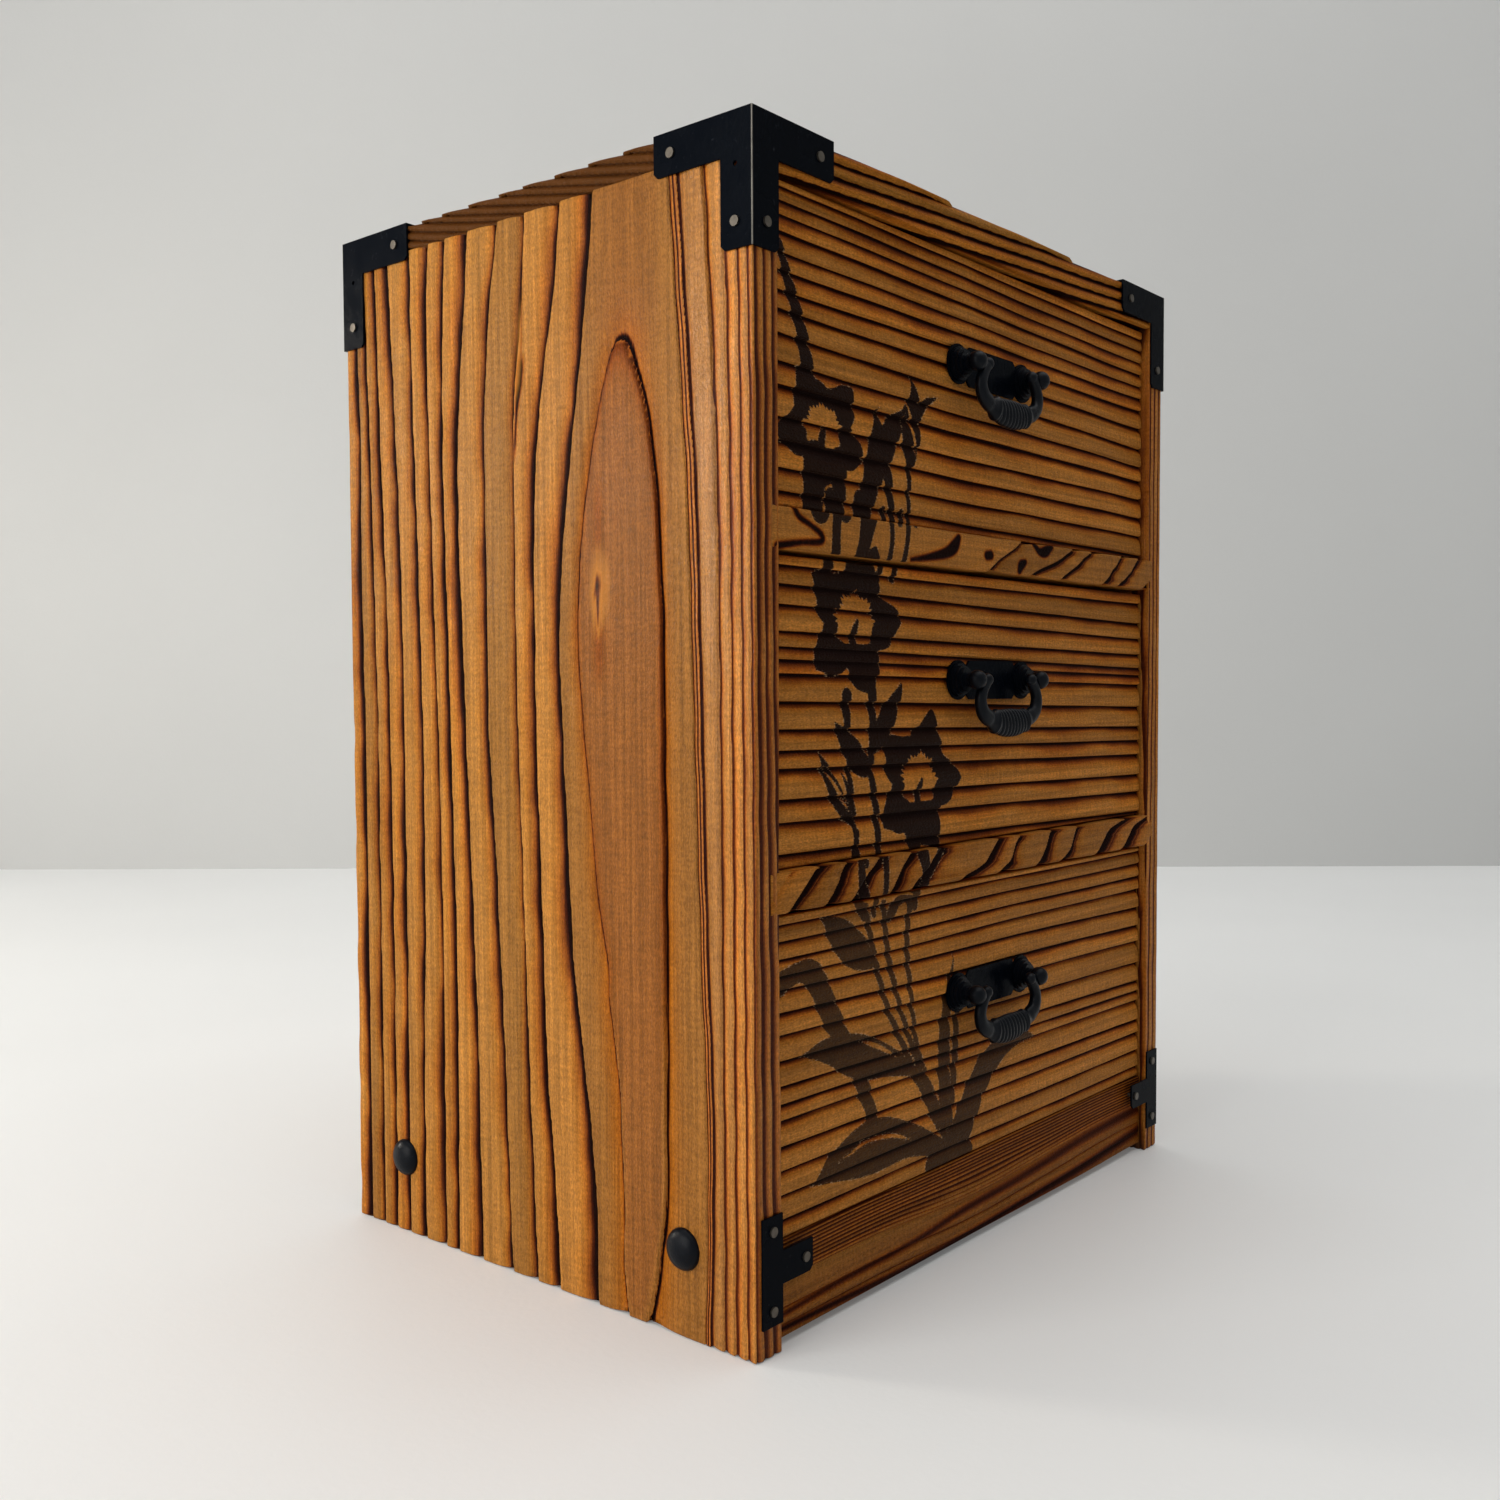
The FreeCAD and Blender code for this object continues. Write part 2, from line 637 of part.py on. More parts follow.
def make_back_panel():
    """Back panel in the rebates, with the holes of its nails."""
    body = new_body("back_panel")
    sketch = new_sketch(body, "XZ_Plane", "-back_y")
    add_rectangle(sketch, "-half_rebate", "half_rebate", "bottom_level", "back_top")
    pad(body, sketch, "back_thickness", backwards=True)
    add_holes(body, "XZ_Plane", "-rear_y", back_panel_nails(), "nail_radius + tack_clearance",
              "back_thickness", True)
    keep(body, "back_panel")


def back_panel_nails():
    """All nails of the back panel, as X and Z."""
    rows = back_row_nails("nail_top_z") + back_row_nails("bottom_middle")
    return back_side_nails(-1) + back_side_nails(1) + rows


def make_rails_and_runners(level_name, rail_level, slide_level):
    """Front rail, rear rail and the two runners that carry one drawer."""
    rail = board(f"{level_name}_rail", ("-half_housed", "front_y", rail_level),
                 ("half_housed", "rail_back_y", slide_level))
    keep(rail, f"{level_name}_rail")
    runner_level = f"{slide_level} - runner_height"
    rear_rail = board(f"{level_name}_rear_rail", ("-half_inner", "rear_rail_y", runner_level),
                      ("half_inner", "back_y", slide_level))
    keep(rear_rail, f"{level_name}_rear_rail")
    left = board(f"{level_name}_left_runner", ("-half_inner", "rail_back_y", runner_level),
                 ("-half_inner + runner_width", "rear_rail_y", slide_level))
    keep(left, f"{level_name}_left_runner")
    right = board(f"{level_name}_right_runner", ("half_inner - runner_width", "rail_back_y", runner_level),
                  ("half_inner", "rear_rail_y", slide_level))
    keep(right, f"{level_name}_right_runner")


# Ironwork

def iron_outline(near_x, near_y, along_x, along_y):
    """An L with clipped tips: its outer corner, and the sense in which each leg runs."""
    leg_x = f"{near_x} + {along_x} * iron_leg"
    leg_y = f"{near_y} + {along_y} * iron_leg"
    band_x = f"{near_x} + {along_x} * iron_band"
    band_y = f"{near_y} + {along_y} * iron_band"
    return [
        (near_x, near_y),
        (leg_x, near_y),
        (leg_x, f"{band_y} - {along_y} * iron_clip"),
        (f"{leg_x} - {along_x} * iron_clip", band_y),
        (band_x, band_y),
        (band_x, f"{leg_y} - {along_y} * iron_clip"),
        (f"{band_x} - {along_x} * iron_clip", leg_y),
        (near_x, leg_y),
    ]


def make_corner_irons():
    """Three-faced iron on the front left corner, and its mirror images on the other corners."""
    body = new_body("front_left_corner_iron")
    outer_x = "-half_width - iron_sheet"
    outer_y = "front_y - iron_sheet"
    front = new_sketch(body, "XZ_Plane", "-front_y")
    add_outline(front, iron_outline(outer_x, "carcass_height", 1, -1))
    pad(body, front, "iron_sheet")
    side = new_sketch(body, "YZ_Plane", "-half_width")
    add_outline(side, iron_outline(outer_y, "carcass_height", 1, -1))
    pad(body, side, "iron_sheet", backwards=True)
    top = new_sketch(body, "XY_Plane", "carcass_height")
    add_outline(top, iron_outline(outer_x, outer_y, 1, 1))
    pad(body, top, "iron_sheet")

    tack_hole = "tack_radius + tack_clearance"
    spare = [("near_front_y", "spare_z")]
    add_holes(body, "XZ_Plane", "-front_y", [("-far_x", "near_z"), ("-near_x", "far_z")],
              tack_hole, "iron_sheet", True)
    add_holes(body, "YZ_Plane", "-half_width", side_face_pins()[:2] + spare, tack_hole, "iron_sheet")
    add_holes(body, "XY_Plane", "carcass_height", top_face_pins()[:2], tack_hole, "iron_sheet", True)
    keep(body, "front_left_corner_iron")

    middle_y = "(front_y + rear_y) / 2"
    front_right = mirrored(body, Vector(1, 0, 0), "x", "0")
    rear_left = mirrored(body, Vector(0, 1, 0), "y", middle_y)
    rear_right = mirrored(front_right, Vector(0, 1, 0), "y", middle_y)
    keep(front_right, "front_right_corner_iron")
    keep(rear_left, "rear_left_corner_iron")
    keep(rear_right, "rear_right_corner_iron")


def make_t_plates():
    """T-plates that tie the kick board's ends to the side panels."""
    body = new_body("left_t_plate")
    outer = "-half_width + t_plate_inset"
    inner = "-half_inner"
    tab_end = "-half_width + t_plate_reach"
    sketch = new_sketch(body, "XZ_Plane", "-front_y")
    add_outline(sketch, [
        (outer, "t_plate_level - t_plate_height / 2"),
        (inner, "t_plate_level - t_plate_height / 2"),
        (inner, "t_plate_level - t_tab_height / 2"),
        (f"{tab_end} - iron_clip", "t_plate_level - t_tab_height / 2"),
        (tab_end, "t_plate_level - t_tab_height / 2 + iron_clip"),
        (tab_end, "t_plate_level + t_tab_height / 2"),
        (inner, "t_plate_level + t_tab_height / 2"),
        (inner, "t_plate_level + t_plate_height / 2"),
        (outer, "t_plate_level + t_plate_height / 2"),
    ])
    pad(body, sketch, "iron_sheet")
    add_holes(body, "XZ_Plane", "-front_y", t_strip_pins(-1) + t_tab_pin(-1),
              "tack_radius + tack_clearance", "iron_sheet", True)
    keep(body, "left_t_plate")
    keep(mirrored(body, Vector(1, 0, 0), "x", "0"), "right_t_plate")


def add_tacks(body, plane, surface, centres, depth, along_normal):
    """Pins with round heads: shanks through the sheet into the wood, heads on the sheet."""
    direction = 1 if along_normal else -1
    shanks = new_sketch(body, plane, f"{surface} + {direction} * iron_sheet")
    add_circles(shanks, centres, "tack_radius")
    pad(body, shanks, f"{depth} + iron_sheet", backwards=along_normal)
    heads = new_sketch(body, plane, f"{surface} + {direction} * iron_sheet")
    add_circles(heads, centres, "tack_head_radius")
    pad(body, heads, "tack_head_height", backwards=not along_normal)


def make_tacks():
    """Pins of the corner irons and of the T-plates."""
    corner = new_body("corner_iron_pins")
    add_tacks(corner, "YZ_Plane", "-half_width", side_face_pins(), "tack_length", False)
    add_tacks(corner, "YZ_Plane", "half_width", side_face_pins(), "tack_length", True)
    add_tacks(corner, "XZ_Plane", "-front_y", end_face_pins(), "tack_length", True)
    add_tacks(corner, "XZ_Plane", "-rear_y", end_face_pins(), "tack_length", False)
    add_tacks(corner, "XY_Plane", "carcass_height", top_face_pins(), "tack_length", True)
    keep(corner, "corner_iron_pins")
    plates = new_body("t_plate_pins")
    places = t_strip_pins(-1) + t_tab_pin(-1) + t_strip_pins(1) + t_tab_pin(1)
    add_tacks(plates, "XZ_Plane", "-front_y", places, "t_pin_length", True)
    keep(plates, "t_plate_pins")


def make_back_nails():
    """Flat-headed nails of the back panel."""
    body = new_body("back_panel_nails")
    shanks = new_sketch(body, "XZ_Plane", "-rear_y")
    add_circles(shanks, back_panel_nails(), "nail_radius")
    pad(body, shanks, "nail_length")
    heads = new_sketch(body, "XZ_Plane", "-rear_y")
    add_circles(heads, back_panel_nails(), "nail_head_radius")
    pad(body, heads, "nail_head_height", backwards=True)
    keep(body, "back_panel_nails")


def make_dome_nails():
    """Large dome nails through the side panels into the ends of the bottom board."""
    members = []
    for side in (-1, 1):
        for y_text, z_text in dome_places():
            dome = doc.addObject("Part::Ellipsoid", "dome")
            bind(dome, "Radius1", "dome_height")
            bind(dome, "Radius2", "dome_radius")
            bind(dome, "Radius3", "dome_radius")
            dome.Angle1 = 0
            shank = doc.addObject("Part::Cylinder", "dome_shank")
            bind(shank, "Radius", "dome_shank_radius")
            bind(shank, "Height", "dome_shank_length")
            dome.Placement.Rotation = Rotation(Vector(0, 1, 0), side * 90)
            shank.Placement.Rotation = Rotation(Vector(0, 1, 0), -side * 90)
            place_at(dome, signed(side, "half_width"), y_text, z_text)
            place_at(shank, signed(side, "half_width"), y_text, z_text)
            nail = doc.addObject("Part::Fuse", "dome_nail")
            nail.Base = dome
            nail.Tool = shank
            members.append(nail)
    keep(grouped("dome_nails", members), "dome_nails")


# Drawers, each in its own frame: the middle of its face's lower edge is the zero

def peg_places(side_height):
    """Pegs of a drawer side, as Y and Z."""
    return [
        (y_text, f"floor_top + {share} * ({side_height} - floor_top)")
        for y_text in ("front_peg_y", "rear_peg_y")
        for share in PEG_SHARES
    ]


def make_drawer_front(name, height, level):
    """Drawer front with laps for the sides, a groove for the bottom and the pull's holes."""
    body = new_body(f"{name}_front")
    sketch = new_sketch(body, "XY_Plane")
    add_outline(sketch, [
        ("-drawer_half_width", "0"),
        ("drawer_half_width", "0"),
        ("drawer_half_width", "side_start"),
        ("drawer_half_inner", "side_start"),
        ("drawer_half_inner", "front_thickness"),
        ("-drawer_half_inner", "front_thickness"),
        ("-drawer_half_inner", "side_start"),
        ("-drawer_half_width", "side_start"),
    ])
    pad(body, sketch, height)
    groove = new_sketch(body, "YZ_Plane")
    add_rectangle(groove, "front_thickness - groove_depth", "front_thickness + overrun",
                  "floor_lift", "floor_top")
    pocket(body, groove, "2 * drawer_half_inner", midplane=True)
    post_height = f"{PULL_HEIGHT_SHARE} * {height}"
    posts = [("-pull_half_spacing", post_height), ("pull_half_spacing", post_height)]
    add_holes(body, "XZ_Plane", "0", posts, "shank_radius + shank_clearance", "front_thickness")
    pegs = peg_places(f"{height} - side_drop")[:len(PEG_SHARES)]
    peg_hole = "peg_radius + peg_clearance"
    add_holes(body, "YZ_Plane", "-drawer_half_width", pegs, peg_hole, "peg_length", True)
    add_holes(body, "YZ_Plane", "drawer_half_width", pegs, peg_hole, "peg_length")
    place_at(body, "0", "drawer_y", level)
    keep(body, f"{name}_front")


def make_drawer_side(name, side_name, side, height, level):
    """Drawer side with the groove for the bottom and the peg holes."""
    body = new_body(f"{name}_{side_name}_side")
    sketch = new_sketch(body, "YZ_Plane", signed(side, "drawer_half_inner"))
    add_rectangle(sketch, "side_start", "drawer_length", "0", f"{height} - side_drop")
    pad(body, sketch, "side_thickness", backwards=side < 0)
    groove = new_sketch(body, "YZ_Plane", signed(side, "drawer_half_inner"))
    add_rectangle(groove, "front_thickness - groove_depth", "drawer_length + overrun",
                  "floor_lift", "floor_top")
    pocket(body, groove, "groove_depth", backwards=side > 0)
    add_holes(body, "YZ_Plane", signed(side, "drawer_half_width"), peg_places(f"{height} - side_drop"),
              "peg_radius + peg_clearance", "side_thickness", side < 0)
    place_at(body, "0", "drawer_y", level)
    keep(body, f"{name}_{side_name}_side")


def make_drawer_back(name, height, level):
    """Drawer back between the sides, standing on the bottom."""
    body = new_body(f"{name}_back")
    sketch = new_sketch(body, "XY_Plane", "floor_top")
    add_rectangle(sketch, "-drawer_half_inner", "drawer_half_inner",
                  "drawer_length - rear_thickness", "drawer_length")
    pad(body, sketch, f"{height} - side_drop - floor_top")
    pegs = peg_places(f"{height} - side_drop")[len(PEG_SHARES):]
    peg_hole = "peg_radius + peg_clearance"
    add_holes(body, "YZ_Plane", "-drawer_half_width", pegs, peg_hole, "peg_length", True)
    add_holes(body, "YZ_Plane", "drawer_half_width", pegs, peg_hole, "peg_length")
    place_at(body, "0", "drawer_y", level)
    keep(body, f"{name}_back")


def make_drawer_bottom(name, level):
    """Thin drawer bottom in the grooves of the front and the sides."""
    floor = board(f"{name}_bottom",
                  ("-drawer_half_inner - groove_depth", "drawer_y + front_thickness - groove_depth",
                   f"{level} + floor_lift"),
                  ("drawer_half_inner + groove_depth", "drawer_y + drawer_length",
                   f"{level} + floor_top"))
    keep(floor, f"{name}_bottom")


def make_drawer_pegs(name, height, level):
    """Wooden pegs that lock the sides to the front and the back."""
    body = new_body(f"{name}_pegs")
    for side in (-1, 1):
        sketch = new_sketch(body, "YZ_Plane", signed(side, "drawer_half_width"))
        add_circles(sketch, peg_places(f"{height} - side_drop"), "peg_radius")
        pad(body, sketch, "peg_length", backwards=side > 0)
    place_at(body, "0", "drawer_y", level)
    keep(body, f"{name}_pegs")


# Pulls, each in its own frame: on the drawer's face, at the height of the posts

def make_pull_plate(name, level):
    """Backplate: a middle part with clipped corners and a disc under each post."""
    body = new_body(f"{name}_pull_plate")
    middle = new_sketch(body, "XZ_Plane")
    short = "plate_half_middle - plate_clip"
    low = "plate_half_height - plate_clip"
    add_outline(middle, [
        ("plate_half_middle", f"-({low})"),
        ("plate_half_middle", low),
        (short, "plate_half_height"),
        (f"-({short})", "plate_half_height"),
        ("-plate_half_middle", low),
        ("-plate_half_middle", f"-({low})"),
        (f"-({short})", "-plate_half_height"),
        (short, "-plate_half_height"),
    ])
    pad(body, middle, "plate_thickness")
    discs = new_sketch(body, "XZ_Plane")
    centres = [("-pull_half_spacing", "0"), ("pull_half_spacing", "0")]
    add_circles(discs, centres, "plate_disc_radius")
    pad(body, discs, "plate_thickness")
    add_holes(body, "XZ_Plane", "0", centres, "shank_radius + shank_clearance",
              "plate_thickness", True)
    place_at(body, "0", "drawer_y", level)
    keep(body, f"{name}_pull_plate")


def paired(body, name, level):
    """A piece at the left post and its mirror image at the right post."""
    place_at(body, "-pull_half_spacing", "drawer_y", level)
    pair = grouped(name, [body, mirrored(body, Vector(1, 0, 0), "x", "0")])
    keep(pair, name)


def make_rosettes(name, level):
    """Ringed rosettes between the backplate and the posts."""
    body = new_body(f"{name}_rosette")
    sketch = new_sketch(body, "YZ_Plane")
    bore = "shank_radius + shank_clearance"
    first_ring = "-plate_thickness - rosette_step"
    add_outline(sketch, [
        ("-plate_thickness", bore),
        ("-plate_thickness", "rosette_radius"),
        (first_ring, "rosette_radius"),
        (first_ring, "rosette_ring_radius"),
        ("-rosette_top", "rosette_ring_radius"),
        ("-rosette_top", bore),
    ])
    revolve(body, sketch)
    paired(body, f"{name}_pull_rosettes", level)


def make_posts(name, level):
    """Posts with collar, neck and ball; the shank runs through the drawer front."""
    body = new_body(f"{name}_post")
    sketch = new_sketch(body, "YZ_Plane")
    add_outline(sketch, [
        ("shank_end", "0"),
        ("shank_end", "shank_radius"),
        ("-rosette_top", "shank_radius"),
        ("-rosette_top", "collar_radius"),
        ("-collar_top", "collar_radius"),
        ("-collar_top", "neck_radius"),
        ("-post_reach", "neck_radius"),
        ("-post_reach", "0"),
    ])
    revolve(body, sketch)
    ball = body.newObject("PartDesign::AdditiveSphere", f"{name}_ball")
    bind(ball, "Radius", "ball_radius")
    bind(ball, ".Placement.Base.y", "-post_reach")
    bore = new_sketch(body, "YZ_Plane", "pull_half_spacing - bore_start")
    add_circles(bore, [("-post_reach", "0")], "bore_radius")
    pocket(body, bore, "bore_end - bore_start")
    paired(body, f"{name}_pull_posts", level)


def make_nuts(name, level):
    """Square nuts on the shanks inside the drawer."""
    body = new_body(f"{name}_nut")
    sketch = new_sketch(body, "XZ_Plane", "-front_thickness")
    add_rectangle(sketch, "-nut_half_width", "nut_half_width", "-nut_half_width", "nut_half_width")
    add_circles(sketch, [("0", "0")], "shank_radius + tack_clearance")
    pad(body, sketch, "nut_height", backwards=True)
    paired(body, f"{name}_pull_nuts", level)


def bail_stations():
    """Sections of the whole bail from eye to eye: X, drop, share of swelling and turn."""
    half = [("bail_eye_x", "0", 0, 0)]
    for x_share, z_share, swell_share, turn in BAIL_SHARES:
        half.append((f"{x_share} * bail_half_span", f"{z_share} * bail_drop", swell_share, turn))
    left = [(signed(-1, x_text), drop, swell, -turn) for x_text, drop, swell, turn in half]
    right = [(x_text, drop, swell, turn) for x_text, drop, swell, turn in half[:-1]]
    return left + right[::-1]


def make_bail(name, level):
    """Hanging bail: slim arms, a thick grip and a pin at the top of each arm."""
    sections = []
    axis_y = "drawer_y - post_reach"
    for x_text, drop, swell_share, turn in bail_stations():
        ring = doc.addObject("Part::Ellipse", f"{name}_bail_section")
        bind(ring, "MajorRadius",
             f"bail_arm_radius + {swell_share} * (bail_grip_radius - bail_arm_radius)")
        bind(ring, "MinorRadius",
             f"bail_arm_depth + {swell_share} * (bail_grip_depth - bail_arm_depth)")
        ring.Placement.Rotation = Rotation(Vector(0, 1, 0), turn)
        place_at(ring, x_text, axis_y, f"{level} - {drop}")
        sections.append(ring)
    loft = doc.addObject("Part::Loft", f"{name}_bail_loft")
    loft.Sections = sections
    loft.Solid = True

    members = [loft]
    for side in (-1, 1):
        eye = doc.addObject("Part::Sphere", f"{name}_bail_eye")
        bind(eye, "Radius", "bail_eye_radius")
        place_at(eye, signed(side, "bail_eye_x"), axis_y, level)
        pivot = doc.addObject("Part::Cylinder", f"{name}_bail_pivot")
        bind(pivot, "Radius", "pivot_radius")
        bind(pivot, "Height", "bore_end - pivot_end_gap - bail_eye_x")
        pivot.Placement.Rotation = Rotation(Vector(0, 1, 0), side * 90)
        place_at(pivot, signed(side, "bail_eye_x"), axis_y, level)
        members += [eye, pivot]
    bail = doc.addObject("Part::MultiFuse", f"{name}_bail_whole")
    bail.Shapes = members
    keep(bail, f"{name}_bail")


def make_drawer(name, slide_level, upper_level):
    """One drawer with its pull."""
    level = f"{slide_level} + drawer_slide_gap"
    height = f"({upper_level} - {slide_level} - drawer_slide_gap - drawer_top_clearance)"
    pull_level = f"{level} + {PULL_HEIGHT_SHARE} * {height}"
    make_drawer_front(name, height, level)
    make_drawer_side(name, "left", -1, height, level)
    make_drawer_side(name, "right", 1, height, level)
    make_drawer_back(name, height, level)
    make_drawer_bottom(name, level)
    make_drawer_pegs(name, height, level)
    make_pull_plate(name, pull_level)
    make_rosettes(name, pull_level)
    make_posts(name, pull_level)
    make_nuts(name, pull_level)
    make_bail(name, pull_level)


def check_document():
    """Stops at any failed object, broken shape, or cut that removes nothing."""
    for thing in doc.Objects:
        if "Invalid" in thing.State or "Error" in thing.State:
            raise RuntimeError(f"{thing.Label} did not compute: {thing.State}")
        if thing.TypeId == "PartDesign::Pocket":
            removed = thing.BaseFeature.Shape.Volume - thing.Shape.Volume
            if removed <= 0:
                raise RuntimeError(f"{thing.Label} cuts nothing")
    for name, thing in NODES:
        if thing.Shape.isNull() or not thing.Shape.isValid() or not thing.Shape.Solids:
            raise RuntimeError(f"{name} has no sound shape")


def write_parts():
    """Writes each sub-part under its node's name."""
    os.makedirs("parts", exist_ok=True)
    for name, thing in NODES:
        thing.Shape.exportStep(f"parts/{name}.step")
        print(name, len(thing.Shape.Solids), "solids", round(thing.Shape.Volume, 1), "mm3")


make_tables()
make_side_panel("left_side_panel", -1)
make_side_panel("right_side_panel", 1)
make_top_board()
make_bottom_board()
make_kick_board()
make_back_panel()
make_rails_and_runners("upper", "upper_rail_level", "upper_slide_level")
make_rails_and_runners("lower", "lower_rail_level", "lower_slide_level")
make_corner_irons()
make_t_plates()
make_tacks()
make_back_nails()
make_dome_nails()
for drawer_name, drawer_level, level_above in DRAWERS:
    make_drawer(drawer_name, drawer_level, level_above)
doc.recompute()
check_document()
write_parts()
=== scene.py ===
import math

import bpy
import numpy as np
from bpy.props import FloatProperty, FloatVectorProperty, IntProperty, PointerProperty
from mathutils import Matrix, Vector


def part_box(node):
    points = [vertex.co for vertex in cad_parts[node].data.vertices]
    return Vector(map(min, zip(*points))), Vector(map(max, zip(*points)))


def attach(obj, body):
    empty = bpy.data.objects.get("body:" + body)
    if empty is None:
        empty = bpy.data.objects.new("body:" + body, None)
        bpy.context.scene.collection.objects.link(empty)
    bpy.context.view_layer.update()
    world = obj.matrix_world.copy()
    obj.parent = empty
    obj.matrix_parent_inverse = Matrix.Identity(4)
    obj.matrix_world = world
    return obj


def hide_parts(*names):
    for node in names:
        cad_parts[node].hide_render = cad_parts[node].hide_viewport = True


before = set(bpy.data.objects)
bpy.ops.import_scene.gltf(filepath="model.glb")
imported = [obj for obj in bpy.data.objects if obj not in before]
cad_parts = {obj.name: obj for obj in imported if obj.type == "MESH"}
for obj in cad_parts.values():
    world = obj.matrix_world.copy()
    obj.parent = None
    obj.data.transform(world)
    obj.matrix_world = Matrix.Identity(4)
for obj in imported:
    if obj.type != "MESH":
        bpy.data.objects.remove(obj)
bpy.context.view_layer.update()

bl_info = {
    "name": "Small Drawer Cabinet",
    "version": (1, 0, 0),
    "blender": (4, 5, 0),
    "location": "3D View > Sidebar > Cabinet",
    "description": "Brushed boards, stencilled flowers and cast pulls of a three-drawer cabinet",
    "category": "Object",
}

LEFT_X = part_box("left_side_panel")[0].x
FRONT_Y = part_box("left_side_panel")[0].y
LEFT_MM, FRONT_MM = LEFT_X * 1000, FRONT_Y * 1000
DRAWERS = ("top_drawer", "middle_drawer", "bottom_drawer")

# Depth of the lap at the top of the side panels, whose upper ends the top board covers.
LAP = 0.0094

# The widest that a ring counts for in its own profile, in millimetres.
WIDEST_GAP = 26

# Number of the first dark line of a front, rail or kick board.
FIRST_RING = 20

# Height of a stencil or mark where there is none, in millimetres.
NOTHING = -50.0

# The camera: place, heading, tilt and roll in degrees, and focal length in millimetres.
CAMERA_PLACE = (-0.50195, -0.40125, 0.2178)
CAMERA_TURN = (49.77, -2.31, -0.28)
FOCAL_LENGTH = 34.89


def srgb(code):
    """Linear colour of an sRGB hex code: each channel is undone with the sRGB curve."""
    values = np.array([int(code[i:i + 2], 16) for i in (0, 2, 4)]) / 255
    linear = np.where(values <= 0.04045, values / 12.92, ((values + 0.055) / 1.055) ** 2.4)
    return tuple(linear.tolist())


# Settings

class WoodSettings(bpy.types.PropertyGroup):
    """Brushed and lacquered softwood."""
    relief: FloatProperty(name="Relief", description="Depth of a valley beside a wide ring",
                          default=0.0015, min=0, unit="LENGTH")
    rounding: FloatProperty(name="Rounding", description="Radius of the boards' edges",
                            default=0.0009, min=0, unit="LENGTH")
    gloss: FloatProperty(name="Gloss", description="Strength of the lacquer over the wood",
                         default=0.06, min=0, max=1, subtype="FACTOR")
    early: FloatVectorProperty(name="Earlywood", description="Pale part of a ring",
                               default=srgb("BE8138"), subtype="COLOR")
    heart: FloatVectorProperty(name="Heart", description="Redder wood round the arch",
                               default=srgb("9A5F28"), subtype="COLOR")
    knot: FloatVectorProperty(name="Knot", description="Resin-dark heart of the knot",
                              default=srgb("2A1006"), subtype="COLOR")


class StencilSettings(bpy.types.PropertyGroup):
    """Flowers sprayed through a stencil."""
    ink: FloatVectorProperty(name="Ink", description="Colour on the upper drawers",
                             default=srgb("160805"), subtype="COLOR")
    faded_ink: FloatVectorProperty(name="Faded ink", description="Colour on the bottom drawer",
                                   default=srgb("221913"), subtype="COLOR")


class PullSettings(bpy.types.PropertyGroup):
    """Cast bails of the drawer pulls."""
    flutes: IntProperty(name="Flutes", description="Slanted grooves over one grip",
                        default=9, min=0)
    flute_depth: FloatProperty(name="Flute depth", description="Depth of one groove",
                               default=0.0006, min=0, unit="LENGTH")
    iron: FloatVectorProperty(name="Iron", description="Black lacquered iron",
                              default=srgb("060A11"), subtype="COLOR")


class StageSettings(bpy.types.PropertyGroup):
    """Floor, wall, lights and camera."""
    floor: FloatVectorProperty(name="Floor", description="Painted floor",
                               default=srgb("E2E3E2"), subtype="COLOR")
    wall: FloatVectorProperty(name="Wall", description="Painted wall",
                              default=srgb("C6C7C6"), subtype="COLOR")
    window: FloatProperty(name="Window light", description="Soft light on the left side",
                          default=15, min=0, unit="POWER")
    lamp: FloatProperty(name="Lamp light", description="Small light that glints on the ridges",
                        default=9, min=0, unit="POWER")
    ceiling: FloatProperty(name="Ceiling light", description="Broad soft light from above",
                           default=44, min=0, unit="POWER")
    lift: FloatProperty(name="Background lift", description="Light of floor and wall to the eye",
                        default=0.14, min=0)
    sky: FloatProperty(name="Room light", description="Even light from all round",
                       default=0.16, min=0)


# Surfaces

def curve(places, values, at):
    """Smooth line through points: a cubic between neighbours, whose slope at each point is the
    mean of the slopes beside it."""
    places = np.asarray(places, float)
    values = np.asarray(values, float)
    slopes = np.gradient(values, places)
    i = np.clip(np.searchsorted(places, at) - 1, 0, len(places) - 2)
    width = places[i + 1] - places[i]
    t = np.clip((at - places[i]) / width, 0, 1)
    start = (1 + 2 * t) * (1 - t) ** 2 * values[i] + t * (1 - t) ** 2 * width * slopes[i]
    end = t ** 2 * (3 - 2 * t) * values[i + 1] + t ** 2 * (t - 1) * width * slopes[i + 1]
    return start + end


def smooth(low, high, value):
    """0 below low and 1 above high, with the cubic 3t^2 - 2t^3 between them."""
    t = np.clip((value - low) / (high - low), 0, 1)
    return t * t * (3 - 2 * t)


def window(start, full, fade, end, value):
    """1 from full to fade, falling smoothly to 0 at start and at end."""
    return smooth(start, full, value) * (1 - smooth(fade, end, value))


def bell(value, middle, width):
    """e^-((value - middle)/width)^2: 1 at the middle and under 0.02 past twice the width."""
    return np.exp(-((value - middle) / width) ** 2)


def waves(along, across, seed, reach=1.0):
    """Slow waviness between -reach and reach: the mean of five sines of both places, with lengths
    of 60 to 300 along the grain and 40 to 200 across it."""
    rng = np.random.default_rng(seed)
    total = 0.0
    for _ in range(5):
        long_step, cross_step = rng.uniform(60, 300), rng.uniform(40, 200)
        total = total + np.sin(2 * math.pi * (along / long_step + across / cross_step
                                              + rng.uniform()))
    return reach * total / 5


